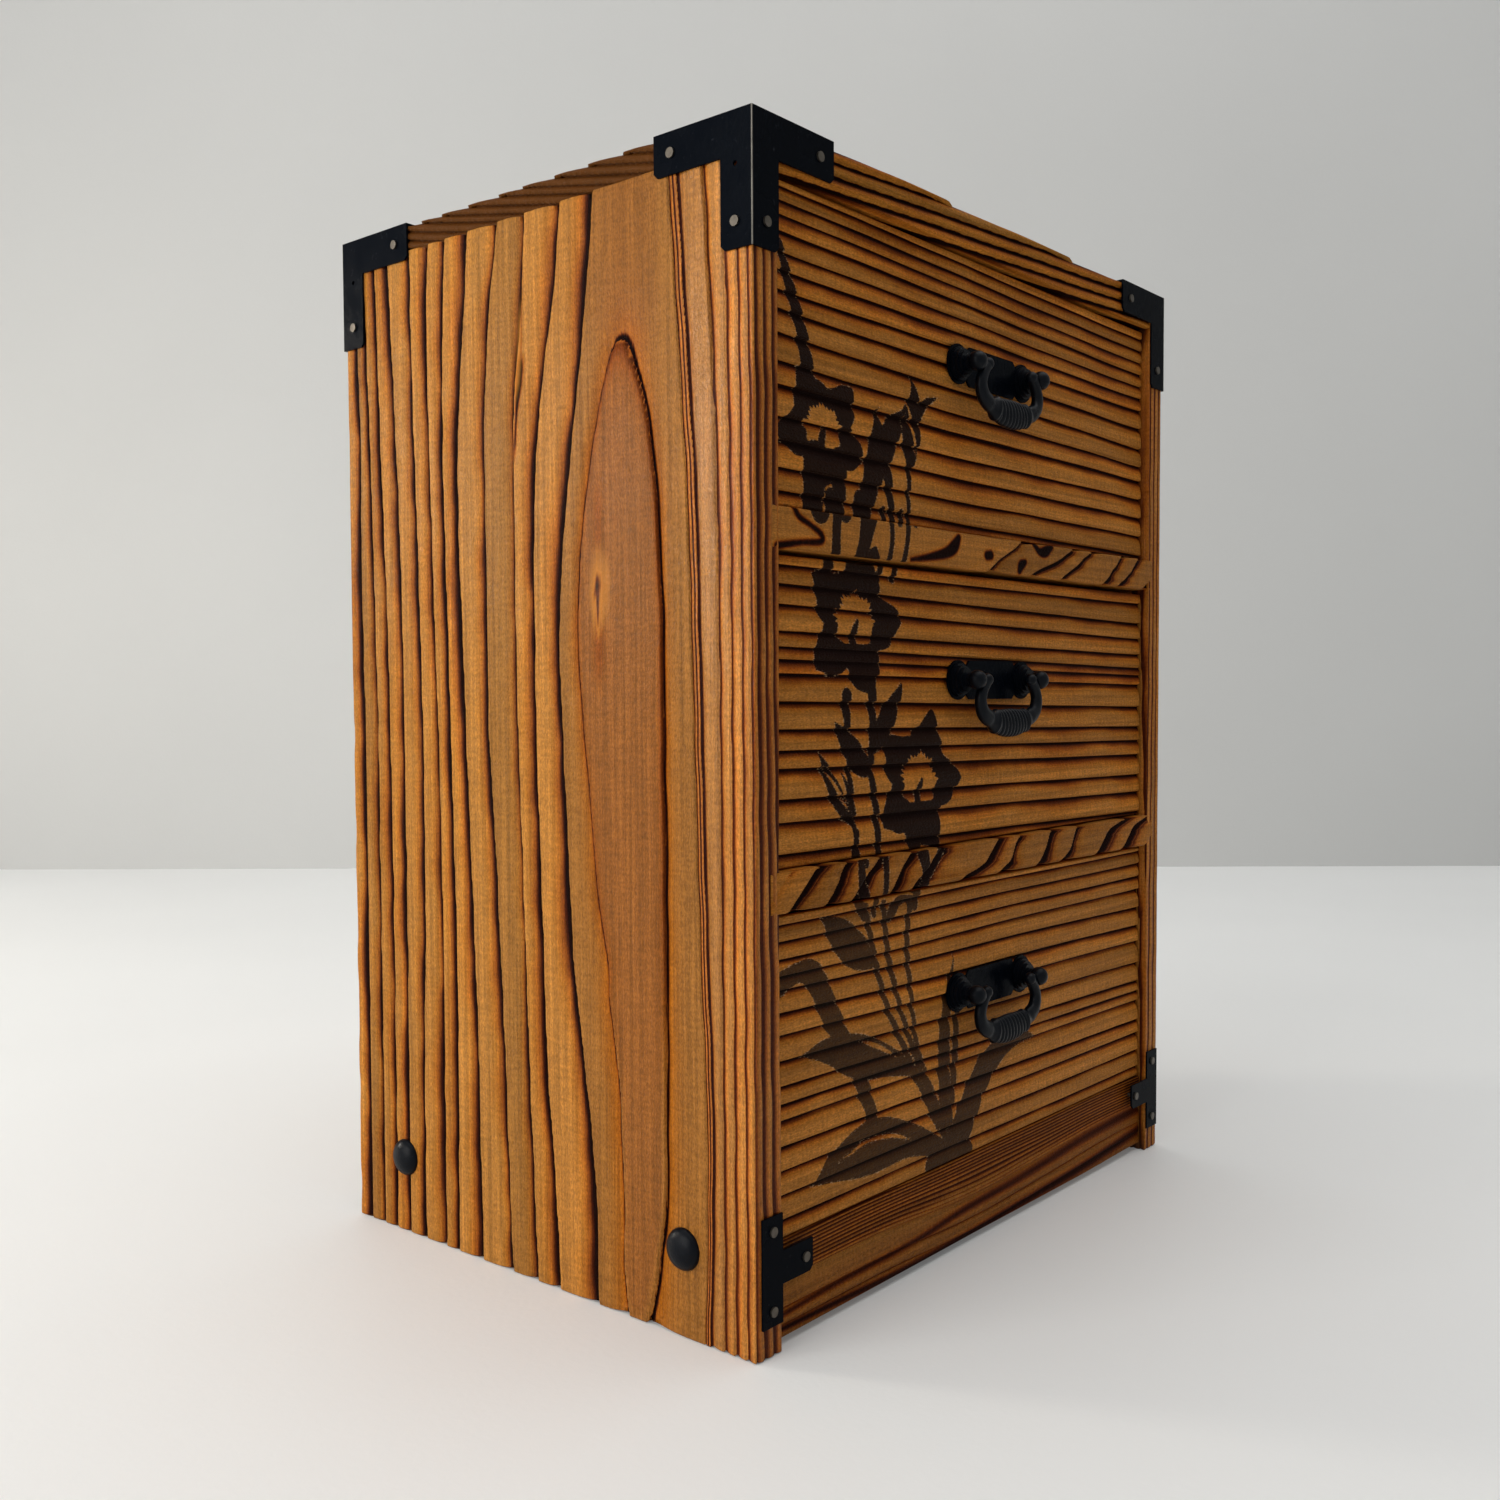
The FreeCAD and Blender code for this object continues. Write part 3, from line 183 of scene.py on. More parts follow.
def stations(low, high, step, rounding):
    """Places from low to high: close together in the rounding at both ends, even between."""
    edge = rounding * np.array([0, 0.3, 0.65, 1])
    count = max(2, int(round((high - low - 2 * rounding) / step)))
    middle = np.linspace(low + rounding, high - rounding, count + 1)
    return np.concatenate([low + edge[:-1], middle, (high - edge[:-1])[::-1]])


def make_object(name, places, quads, loops=(), fields=None):
    """A mesh object at the origin from vertex places, quads and larger flat loops, with one
    attribute for each named field. Faces are smooth but for the larger loops."""
    mesh = bpy.data.meshes.new(name)
    mesh.from_pydata(places.tolist(), [], quads.tolist() + [list(loop) for loop in loops])
    mesh.update()
    is_smooth = np.ones(len(mesh.polygons), bool)
    is_smooth[len(quads):] = False
    mesh.polygons.foreach_set("use_smooth", is_smooth)
    for key, values in (fields or {}).items():
        layer = mesh.attributes.new(key, "FLOAT", "POINT")
        layer.data.foreach_set("value", np.asarray(values, np.float32))
    mesh.validate()
    item = bpy.data.objects.new(name, mesh)
    bpy.context.scene.collection.objects.link(item)
    return item


def grid_faces(index, flip):
    """Quads over a grid of vertex numbers, wound the other way with flip."""
    a, b, c, d = index[:-1, :-1], index[:-1, 1:], index[1:, 1:], index[1:, :-1]
    order = (a, b, c, d) if not flip else (a, d, c, b)
    return np.stack(order, -1).reshape(-1, 4)


def picks_of(axes):
    """Numbers of the axes that a board's grain, width and depth run along."""
    return ["XYZ".index(axis[-1]) for axis in axes]


def make_board(name, axes, box, steps, rings, relief, rounding, extras=None, shape=None,
               proud=None):
    """A closed board with brushed grain.

    The board is a box with rounded edges round its show face. axes gives the directions of the
    grain, of the width and inwards, box the places of the board in them, and steps the spacing of
    the vertices, or the places themselves. The function rings gives a number that grows by one
    from ring to ring, in millimetres of grain, width and depth. Each vertex is sunk by the
    profile of its ring: a valley just past a dark line, a slow rise to a ridge, and a steep drop
    at the next line. proud gives the height in millimetres of anything that stands above that.
    extras names attributes, as numbers or as functions of the same places, and shape bends the
    finished places.
    """
    lows, highs = box
    thickness = highs[2] - lows[2]
    # Places along the grain, across it and inwards.
    g, a = (step if isinstance(step, np.ndarray) else stations(low, high, step, rounding)
            for step, low, high in zip(steps[:2], lows, highs))
    d = np.concatenate([rounding * np.array([0, 0.3, 0.65, 1]),
                        np.linspace(rounding, thickness, max(3, int(thickness / steps[2])))[1:]])
    sides = (g, a, d)
    patches = []
    for first, second, fixed, value, flip in (
            (0, 1, 2, 0.0, False), (0, 2, 1, a[0], True), (0, 2, 1, a[-1], False),
            (1, 2, 0, g[0], False), (1, 2, 0, g[-1], True)):
        u, v = np.meshgrid(sides[first], sides[second], indexing="ij")
        points = np.zeros(u.shape + (3,))
        points[..., first], points[..., second], points[..., fixed] = u, v, value
        patches.append((points, flip))
    everything = np.concatenate([points.reshape(-1, 3) for points, _ in patches])
    _, chosen, merged = np.unique(np.round(everything * 1e7).astype(np.int64), axis=0,
                                  return_index=True, return_inverse=True)
    merged = merged.reshape(-1)
    nominal = everything[chosen]
    quads, start, grids = [], 0, []
    for points, flip in patches:
        size = points.shape[0] * points.shape[1]
        index = merged[start:start + size].reshape(points.shape[:2])
        grids.append(index)
        quads.append(grid_faces(index, flip))
        start += size
    quads = np.concatenate(quads)
    back = np.concatenate([grids[1][:, -1], grids[4][1:, -1], grids[2][::-1, -1][1:],
                           grids[3][::-1, -1][1:-1]])

    core = np.clip(nominal, [g[0] + rounding, a[0] + rounding, rounding],
                   [g[-1] - rounding, a[-1] - rounding, thickness + rounding])
    away = nominal - core
    reach = np.linalg.norm(away, axis=1)[:, None]
    normal = away / np.maximum(reach, 1e-9)
    rounded = core + normal * rounding
    is_flat = reach[:, 0] <= 1e-9
    rounded[is_flat] = nominal[is_flat]

    mm = nominal * 1000
    ring = rings(*mm.T)

    def rise(axis, step):
        """Mean rise of the ring number per millimetre, over a step to each side along an axis."""
        move = step * np.eye(3)[axis]
        return (rings(*(mm + move).T) - rings(*(mm - move).T)) / (2 * step)

    inwards = rise(2, 0.15) * np.abs(normal[:, 1])
    slope = rise(0, 0.15) ** 2 + rise(1, 0.15) ** 2 + inwards ** 2
    gap = 1 / np.maximum(np.sqrt(slope), 1 / WIDEST_GAP)
    past = (ring % 1) * gap
    before = gap - past
    # The wider the ring over a broad stretch, from 1.2 to 10 mm, the deeper its valley.
    broad_gap = np.minimum(1 / np.maximum(np.abs(rise(1, 0.7)), 1e-3 / 1.4), 3 * gap + 1)
    depth = relief * np.clip((broad_gap - 1.2) / 8.8, 0, 1) ** 0.7
    valley = np.exp(-(past / (0.24 * gap + 0.3)) ** 1.4)
    wall = 1 - smooth(0, np.minimum(0.7, 0.3 * gap), before)
    # Each ring has a depth of its own, 0.75 to 1.25 times as much, away from its lines.
    own_depth = 0.75 + 0.5 * np.abs(np.sin(np.floor(ring) * 12.9) * 43.7 % 1)
    shallow = smooth(0, 0.5, past) * smooth(0, 0.5, before)
    sink = depth * np.maximum(valley, wall) * (1 + (own_depth - 1) * shallow)
    if proud is not None:
        sink = sink - proud(*mm.T[:2]) * 0.001
    places = rounded - normal * sink[:, None]
    if shape is not None:
        places = shape(places)

    picks = picks_of(axes)
    signs = [-1 if axis.startswith("-") else 1 for axis in axes]
    turn = np.zeros((3, 3))
    turn[picks, range(3)] = signs
    offset = np.zeros(3)
    offset[picks[2]] = lows[2] if signs[2] > 0 else highs[2]
    world = places @ turn.T + offset
    if np.linalg.det(turn) < 0:
        quads, back = quads[:, ::-1], back[::-1]
    from_end = np.minimum(nominal[:, 0] - g[0], g[-1] - nominal[:, 0])
    fields = {"ring": ring, "gap": gap, "end": (from_end < 1e-6).astype(float)}
    for key, value in {"char": 1.0, **(extras or {})}.items():
        fields[key] = value(*mm.T) if callable(value) else np.full(len(mm), value)
    return make_object(name, world, quads, [back], fields)


# Grain of each board, in millimetres

# Heights of the places that the side panel's lines are given at.
HEIGHTS = (0, 40, 80, 120, 160, 200, 240, 280, 320, 360, 400)

# Dark lines behind the arch: distance from the front plane at each height.
REAR_LINES = (
    (74.1, 74.9, 79.6, 85.3, 87.7, 89.9, 91.3, 87.7, 81.6, 75.6, 71.3),
    (93.9, 96.3, 99.9, 101.3, 102.7, 104.1, 104.4, 104.1, 100.6, 92.7, 87.7),
    (106.3, 108.1, 109.9, 111.3, 112.7, 114.1, 114.9, 114.9, 114.7, 109.8, 107.5),
    (120.3, 122, 123.4, 125.6, 127.7, 130.6, 130.9, 131.3, 131.3, 127.7, 121),
    (137.4, 138.4, 139.1, 140.6, 142.4, 144.1, 145.6, 147.3, 146.6, 142.7, 139.1),
    (152, 151.7, 151.3, 151.3, 152.4, 153.4, 154.4, 155.7, 156.2, 155.3, 152.7),
    (159.9, 159.9, 159.8, 159.6, 160.3, 161, 162.5, 163.6, 164.8, 165.2, 163.4),
    (172.7, 172.7, 172.4, 171, 170.6, 170.6, 171.6, 172.7, 174.3, 175.2, 175.6),
    (182.7, 182.7, 182.7, 182.5, 182.6, 182.7, 183, 184, 185.9, 188, 190.5),
    (191.3, 191.3, 191.4, 191.3, 191.5, 192, 192.8, 194.3, 196, 197.3, 198.5),
    (199.9, 200, 200, 200, 200.1, 200.1, 200.9, 201.8, 203, 204.5, 206),
    (208.7, 208.7, 208.6, 208.6, 208.7, 208.7, 209.5, 209.7, 209.2, 210.5, 212),
)

# Dark lines before the arch.
FRONT_LINES = (
    (22.4, 21.2, 21.3, 23.2, 24.6, 25.8, 27, 28.4, 31, 34, 37),
    (21.4, 20.2, 20.1, 21.9, 23.2, 24.3, 25.3, 26.6, 29.2, 32.2, 35.2),
    (20.3, 19.2, 18.9, 20.6, 21.9, 22.9, 23.9, 25, 27.8, 30.6, 33.5),
    (14, 14.2, 14.3, 14.5, 14.7, 14.9, 15.2, 15.6, 17, 19.5, 22),
    (9.3, 9.4, 9.5, 9.6, 9.7, 9.9, 9.9, 10.3, 11, 12, 13.5),
    (4.3, 4.5, 4.8, 5, 5.1, 5.3, 5.5, 5.7, 6, 6.8, 7.5),
)

# Both legs of the arch: height, rear leg, front leg. They meet at its top.
ARCH = (
    (0, 59.1, 49.1), (20, 61, 44.1), (40, 60.8, 40.9), (60, 61.6, 40.4), (80, 62.7, 40.2),
    (100, 65.6, 40), (112, 67.6, 39.9), (120, 67.6, 39.9), (130, 69.2, 39.9), (145, 72.6, 39.9),
    (160, 74.1, 39.9), (180, 76.3, 40.2), (200, 78.4, 40.5), (220, 80.6, 40.5),
    (240, 81.3, 40.6), (260, 80.5, 41.5), (280, 77.8, 42.7), (300, 74.1, 44.8),
    (320, 68.6, 49.4), (330, 65.4, 53), (338, 59.5, 59.5),
)


# The fork of the third line behind the arch: heights, and distance from the front plane.
FORK = ((300, 320, 337, 360, 395), (114.2, 112.4, 110, 109.2, 108.2))


def arch_curves():
    """Axis of the arch and the square of its ring number there, at each height of ARCH and above
    it. The number n obeys n^2 = s + (4 - s) q^2, where q is the distance from the axis as a share
    of the distance to the next line on that side, and s its square on the axis."""
    rows = np.array(ARCH, float)
    z, rear, front = rows.T
    far_rear = curve(HEIGHTS, REAR_LINES[0], z)
    far_front = curve(HEIGHTS, FRONT_LINES[0], z)
    axis = (rear * far_front - front * far_rear) / (rear + far_front - far_rear - front)
    share = (rear - axis) / (far_rear - axis)
    square = (1 - 4 * share ** 2) / (1 - share ** 2)
    z = np.append(z, (346, 356, 372, 400))
    axis = np.append(axis, (59.3, 58.9, 58, 56.5))
    square = np.append(square, (1.35, 1.75, 2.1, 2.35))
    return z, axis, square


ARCH_Z, ARCH_AXIS, ARCH_SQUARE = arch_curves()


def side_rings(z, y, depth):
    """Ring number of a side panel from height, distance from the front and depth: inside the
    first lines by arch_curves, and past them by how far the place lies between two lines."""
    y = y - FRONT_MM + 0.14 * np.sin(z / 6.1 + y / 9) + 0.08 * np.sin(z / 3.3 - y / 4)
    axis = curve(ARCH_Z, ARCH_AXIS, z)
    y = axis + (y - axis) * (1 + depth * 0.016)
    square = curve(ARCH_Z, ARCH_SQUARE, z)
    rear = [curve(HEIGHTS, line, z) for line in REAR_LINES]
    front = [curve(HEIGHTS, line, z) for line in FRONT_LINES]
    share = np.where(y > axis, (y - axis) / (rear[0] - axis), (axis - y) / (axis - front[0]))
    inner = np.sqrt(np.maximum(square + (4 - square) * np.clip(share, 0, 1) ** 2, 0.002))
    number = np.where(inner < 1, 0.55 + 0.45 * np.exp((inner - 1) / 0.45), inner)
    for lines, sign in ((rear, 1), (front, -1)):
        for low, high in zip(lines[:-1], lines[1:]):
            number = number + np.clip((y - low) / (high - low), 0, 1)
        number = number + np.maximum((y - lines[-1]) * sign, 0) / (8 if sign > 0 else 4)
    return number


def side_crest(z, y):
    """Height of the polished crest that runs down just before the close lines of a side panel:
    0.45 mm, as a bell 1.8 mm wide, fading out below the middle of the panel."""
    middle = curve(HEIGHTS, FRONT_LINES[2], z) - 1.6
    return 0.45 * bell(y - FRONT_MM, middle, 0.9) * smooth(60, 260, z)


def side_glow(z, y, depth):
    """Orange glow outside the line of the arch, fading with e^-((n - 1)/0.3)^1.5."""
    number = side_rings(z, y, depth)
    return np.where(number >= 1, np.exp(-((number - 1) / 0.3) ** 1.5), 0.0)


def side_scorch(z, y, depth):
    """Scorching just inside the line of the arch, fading with e^-(1 - n)/0.09, in the fork of the
    third line behind it, a flame and a thin line that goes on above it, and lightly below and
    above the knot. All but the first are bells."""
    number = side_rings(z, y, depth)
    y = y - FRONT_MM
    inside = np.where(number < 1, 0.8 * np.exp(-(1 - number) / 0.09), 0.0)
    fork = curve(FORK[0], FORK[1], z)
    thick = smooth(316, 332, z)
    flame = (0.85 + 0.4 * thick) * bell(y, fork, 0.8 + 0.9 * thick) * window(298, 310, 336, 341, z)
    thin = 0.62 * bell(y, fork, 0.55) * window(334, 340, 376, 392, z)
    below = 0.34 * bell(y, 70.4, 3.4) * window(210, 232, 238, 248, z)
    above = 0.26 * bell(y, 70.4, 3) * window(262, 272, 280, 302, z)
    return np.maximum.reduce([inside * smooth(60, 150, z), flame, thin, below, above])


def side_char(z, y, depth):
    """Darkness of the lines: full behind the front of the arch, two thirds in the close lines
    and half before them."""
    y = y - FRONT_MM
    close = curve(HEIGHTS, FRONT_LINES[2], z)
    return 0.54 + 0.16 * smooth(close - 1.2, close - 0.2, y) + 0.3 * smooth(38, 41, y)


def side_polish_and_sheen(z, y, depth):
    """Extra lacquer gloss of the front ridges, and a painted sheen that lightens their colour: full
    before the close lines.
    """
    close = curve(HEIGHTS, FRONT_LINES[2], z)
    return 1 - smooth(close - 0.5, close + 3.5, y - FRONT_MM)


def side_heart(z, y, depth):
    """Redness of a side panel: strong inside the arch, less before it, none behind."""
    number = side_rings(z, y, depth)
    y = y - FRONT_MM
    arch = (1 - smooth(0.9, 1.0, number)) * window(25, 40, 88, 95, y)
    above = smooth(330, 350, z) * window(36, 46, 70, 80, y)
    return np.clip(0.66 * arch + 0.3 * above + 0.4 * (1 - smooth(60, 125, y)), 0, 1)


def side_knot(z, y, depth):
    """Resin of the knot: a golden oval, a small ragged dark core in it and red streaks below the
    core, and a golden edge over the fork. Each is a bell or a product of bells."""
    y = y - FRONT_MM
    ragged = 0.5 * np.sin(z * 1.9) + 0.4 * np.sin(z * 0.8 + 1) + 0.3 * np.sin(z * 3.7)
    oval = np.hypot((y - 70 - 0.3 * ragged) / 5.6, (z - 254) / 14)
    halo = 0.3 * np.exp(-(oval / 1.05) ** 4)
    core = 0.36 * bell(y, 71 + 0.35 * ragged, 1.7) * bell(z, 255, 3.6)
    wavy = 0.19 * (1 + 0.8 * np.sin(y * 2.6 + ragged))
    streak = wavy * bell(y, 71.2, 2.2) * window(232, 240, 250, 254, z)
    fork = curve(FORK[0], FORK[1], z)
    edge = 0.36 * bell(y, fork + 1.6, 2.2) * window(318, 332, 346, 368, z)
    return halo + core + streak + edge


def top_rings(x, y, depth):
    """Ring number of the top board: lines run from side to side, lean forwards with depth, and
    near the front they turn and leave through the front edge."""
    x, y = x - LEFT_MM, y - FRONT_MM
    rear = smooth(0, 48, y)
    place = y + (3.5 + 1.5 * rear) * depth + 0.19 * x * (1 - rear) + waves(x, y, 21, 1.4)
    return np.interp(place, TOP_LINES, np.arange(len(TOP_LINES), dtype=float))


def tied_rings(left, right, ends, seed, sway=0.5):
    """A ring function for lines that run from one list of levels to another along the board,
    numbered downwards: the lines are moved by slow waves and the number is interpolated."""
    left, right = np.array(left, float), np.array(right, float)

    def rings(x, z, depth):
        share = np.clip((x - ends[0]) / (ends[1] - ends[0]), -0.1, 1.2)
        z = z - waves(x, z, seed, sway) + 0.35 * depth
        number = np.zeros(np.broadcast(x, z).shape)
        levels = [a + (b - a) * share for a, b in zip(left, right)]
        for low, high in zip(levels[:-1], levels[1:]):
            number = number + np.clip((low - z) / (low - high), 0, 1)
        number = number - np.maximum(z - levels[0], 0) / 6 + np.maximum(levels[-1] - z, 0) / 6
        return FIRST_RING + number
    return rings


def crossing_rings(levels, lines):
    """A ring function for lines that cross a rail: each line gives its place along the rail at
    each level, and the number is interpolated between them. Rings are 25 mm apart past the last
    line, and before the first the number falls by no more than 0.6, so that none lies there."""
    def rings(x, z, depth):
        x = x - LEFT_MM + 0.6 * depth
        number = np.zeros(np.broadcast(x, z).shape)
        at = [curve(levels, line, z) for line in lines]
        for low, high in zip(at[:-1], at[1:]):
            number = number + np.clip((x - low) / (high - low), 0, 1)
        number = number - np.clip((at[0] - x) / 25, 0, 0.6) + np.maximum(x - at[-1], 0) / 25
        return FIRST_RING + number
    return rings


# Levels of the dark lines on each drawer front, near its left end and near its right end.
DRAWER_LINES = {
    "top_drawer": (
        (381.4, 377, 372.4, 367.2, 360.6, 354.8, 348.4, 342.2, 334.2, 324.9, 317.4, 307.2,
         299.6, 290.8, 283),
        (379.6, 374.4, 369, 363.7, 358, 352.6, 347, 339.2, 330, 321.6, 314.8, 306.2, 297.7,
         289.2, 280.2)),
    "middle_drawer": (
        (259, 252.7, 246, 237.3, 232.1, 228, 223.4, 214.1, 204.9, 197.9, 191.9, 181.7, 174, 163.6),
        (257.7, 249, 241.9, 234.5, 228.4, 225, 220.6, 210.4, 201.2, 194.7, 188.2, 178.6, 170.6,
         161.2)),
    "bottom_drawer": (
        (140.6, 135, 129, 123.3, 118.4, 110.5, 102.9, 94.2, 85.9, 80.1, 74.8, 66, 58, 49.8, 41.6),
        (141.6, 136, 130, 124, 115.9, 107.4, 99.8, 89.8, 81.3, 76.5, 71.9, 62.7, 56.3, 47.9,
         40.2)),
}

# Dark lines of the top board: distance from the front plane.
TOP_LINES = (-40, -22, -6, 8.9, 24.1, 41, 57.9, 75.1, 92, 108.9, 122, 139.1, 154.9, 168, 186, 202.9,
             220, 240, 262, 280, 300)

# Lines across each rail: distance from the left side, from the rail's lower edge to its upper one.
UPPER_RAIL_LINES = (
    (143, 146, 149, 152, 156, 160, 164, 167, 169),
    (176, 180, 185, 191, 197, 202, 206, 210, 213),
    (202, 205, 209, 213, 217, 220, 223, 227, 230),
    (240, 243, 246, 248, 250, 253, 255, 257, 259),
    (255, 258, 262, 265, 268, 270, 272, 274, 276),
)

LOWER_RAIL_LINES = (
    (18, 20, 22, 24, 26, 28, 30, 32, 35),
    (38, 40, 42, 43.5, 45, 46, 47, 48.5, 50.5),
    (53, 55, 57, 59, 61, 63, 66, 68, 70),
    (76, 78, 79.5, 81, 82.5, 84, 86, 88, 90),
    (90, 92, 95, 98, 101, 103, 105, 108, 110),
    (124, 129, 137, 142, 144, 146, 148, 150, 152),
    (152, 156, 160, 162, 163, 164, 165, 167, 169),
    (182, 185, 187, 188.5, 190, 191, 192, 193, 195),
    (203, 207, 210, 212, 213, 214, 215, 216, 218),
    (235, 238, 240, 242, 244, 246, 250, 257, 264),
)

# Scorched marks of the upper rail: points, in millimetres from the left side and from the floor,
# and widths along each.
RAIL_MARKS = (
    (((21, 278), (23.5, 275), (30, 272.6), (35.5, 270), (35, 267.6), (24, 266.6), (12, 264.5)),
     (1.7, 1.5, 1.2, 1.6, 1.5, 1.2, 2.2)),
    (((89, 265.2), (101, 267), (112, 269.2), (118, 272), (121, 275.4)), (0.8, 2, 3.4, 4.6, 2.4)),
    (((141.5, 270.2), (144.5, 270.6)), (3, 3)),
    (((166.5, 265.8), (168, 268), (171.5, 269.6)), (2.2, 3.4, 1.6)),
    (((179, 277.5), (183, 274.6), (188, 275), (193, 277.5)), (1.8, 2.4, 4, 2.4)),
)


def rail_marks(x, z, depth):
    """Scorching of the marks: full inside a stroke, fading out over 2.6 mm at its edge."""
    height = np.full(np.broadcast(x, z).shape, NOTHING)
    for points, widths in RAIL_MARKS:
        height = np.maximum(height, stroke(x - LEFT_MM, z, points, widths))
    return 1.15 * smooth(-1.7, 0.9, height)


def kick_bands(x, z, depth):
    """Two broad soft bands of the kick board: bells that rise and widen to the right, and a faint
    one under the close grain."""
    x = x - LEFT_MM
    upper = curve((0, 40, 97, 125, 173, 230, 298), (9.5, 11.2, 12, 14, 15.5, 18.6, 20), x)
    lower = curve((0, 38, 100, 173, 229, 298), (6, 5, 3.2, 4.6, 6.2, 10.5), x)
    wide = 1.1 + 2.1 * x / 298
    faint = curve((0, 100, 200, 300), (24, 24, 24, 24.5), x)
    return 0.74 * bell(z, upper, wide) + 0.84 * bell(z, lower, wide) + 0.3 * bell(z, faint, 2)


# Stencil, in millimetres from the left side and from the floor

def stroke(x, z, points, widths):
    """Height of a tapered stroke: the largest of radius minus distance over discs whose middles
    run along a smooth line through the points and whose radii follow the widths."""
    points = np.array(points, float)
    count = len(points)
    places = np.linspace(0, count - 1, 12 * count)
    middle_x = curve(np.arange(count), points[:, 0], places)
    middle_z = curve(np.arange(count), points[:, 1], places)
    radius = curve(np.linspace(0, count - 1, len(widths)), widths, places) / 2
    best = np.full(x.shape, NOTHING)
    for cx, cz, r in zip(middle_x, middle_z, radius):
        best = np.maximum(best, r - np.hypot(x - cx, z - cz))
    return best


def flower(x, z, middle, size, turn, squash):
    """Height of a flower with five pointed petals and an open heart, ragged above: the petals
    reach about size times 0.63 + 0.37 b, where b runs from 0 between two petals to 1 on an axis."""
    dx, dz = x - middle[0], (z - middle[1]) / squash
    radius, angle = np.hypot(dx, dz), np.arctan2(dz, dx) - math.radians(turn)
    between = np.abs((angle * 5 / (2 * math.pi)) % 1 - 0.5) * 2
    reach = size * (0.63 + 0.37 * between ** 1.1 + 0.03 * np.sin(11 * angle))
    ragged = 0.035 * np.sin(31 * angle) * (dz > 0)
    heart = size * (0.37 + 0.025 * np.sin(9 * angle + 1) + ragged)
    open_part = np.minimum(heart - radius, 0.8 * size + dz * 3)
    tongue = stroke(x, z, ((middle[0] - 2, middle[1] - 0.5 * size),
                           (middle[0] - 1, middle[1] - 0.15 * size),
                           (middle[0] + 1.5, middle[1] + 0.02 * size)), (4.5, 4, 2))
    return np.maximum(np.minimum(reach - radius, -open_part), np.minimum(tongue, 1.5))


# Strokes of the stencil: points, widths along it, and "vein" where it is left pale.
STROKES = (
    (((17.5, 364), (22.6, 351.4), (27.1, 342.2), (30.9, 332.2), (33, 321)),
     (3, 5.4, 6, 6.6, 8)),
    (((36, 296), (36, 288), (35, 279)), (12, 12, 11)),
    (((50, 295), (50, 287), (49, 279)), (9, 8, 8)),
    (((56, 258), (66, 284), (72, 300), (73, 318)), (6, 9, 12, 1)),
    (((74, 300), (82, 311), (90, 320)), (13, 10, 0.6)),
    (((82, 278), (80, 290), (78, 300)), (3.6, 5, 7)),
    (((92, 278), (92.5, 292), (93, 302)), (2.6, 3, 3.4)),
    (((93, 297), (94, 310), (96, 322), (95, 332)), (2, 12, 8, 0.6)),
    (((97, 318), (104, 324), (111, 327)), (5, 3.6, 0.6)),
    (((93, 322), (87, 317)), (4, 2)),
    (((91, 323), (95, 313), (97.5, 304)), (0.5, 1.5, 0.6), "vein"),
    (((45, 284), (44, 272), (43.5, 258)), (6, 5, 6)),
    (((62, 284), (60, 271), (57, 258)), (8, 6, 9)),
    (((76, 282), (77, 271), (73, 258)), (3.5, 3, 3.5)),
    (((87.5, 282), (86.5, 271), (82, 258)), (3.5, 3, 3.5)),
    (((54, 216), (54.5, 200), (57, 180), (61, 157)), (6, 3.4, 3.2, 3)),
    (((69, 222), (69.5, 205), (68.5, 190), (72, 172), (73, 150), (70, 138)),
     (6, 4.5, 4, 4.2, 3.6, 3)),
    (((89, 221), (82, 212), (75, 203), (69, 196)), (0.6, 8, 10, 3)),
    (((47, 207), (55, 199), (63, 192), (69, 189)), (0.6, 9, 9, 3)),
    (((38, 197), (44, 188), (50, 179), (58, 171)), (0.6, 6, 7, 2)),
    (((41, 192), (49, 183), (55, 176)), (0.3, 1.5, 0.3), "vein"),
    (((52, 189), (55, 182), (56, 175)), (1, 2.6, 1)),
    (((60, 168), (58, 156), (60, 146), (64, 138)), (3, 4, 6, 4)),
    (((92, 170), (97, 158), (99, 148), (96, 138)), (9, 7, 5, 4)),
    (((108, 168), (110, 160), (104, 152), (95, 144)), (9, 6, 4, 3)),
    (((40, 140), (50, 133), (60, 126), (73, 119)), (1, 12, 13, 1)),
    (((65, 141), (70, 124), (78, 104), (92, 82), (112, 52)), (3.5, 3.4, 3.4, 3.6, 4)),
    (((76, 141), (79, 122), (87, 101), (98, 79), (115, 50)), (3.5, 3.6, 3.2, 3.4, 4)),
    (((80, 136), (86, 141), (98, 141)), (5, 4, 1)),
    (((93, 140), (91, 124), (94, 104), (99, 82), (116, 52)), (3.4, 3.6, 3.2, 3.2, 4)),
    (((17, 121), (26, 123.5), (35, 121), (44, 107), (53, 94)), (9, 7, 10, 10, 8)),
    (((57, 92), (61, 82), (66, 72), (70, 63)), (8, 8, 7, 6)),
    (((28, 95), (43, 94), (62, 88), (82, 82), (101, 74)), (0.6, 9, 16, 10, 2)),
    (((62, 94), (72, 90), (85, 83.5)), (0.4, 1.8, 0.4), "vein"),
    (((123.5, 116), (119.5, 103), (116.5, 86), (116.5, 66), (117, 48)), (0.6, 4, 8, 8, 5)),
    (((128, 108), (125, 90), (123.5, 72), (120, 50)), (1, 4, 4.5, 4)),
    (((34, 49), (50, 53), (70, 54), (92, 51), (114, 43)), (0.6, 13, 20, 13, 7)),
    (((49, 53.5), (66, 56.5), (82, 55), (93, 51)), (0.4, 1.4, 1.4, 0.4), "vein"),
    (((187, 72), (172, 75), (157, 72.5), (142, 63), (128, 46), (118, 38)),
     (0.6, 8, 11, 14, 15, 10)),
    (((106, 37), (120, 41), (134, 38)), (6, 13, 6)),
)

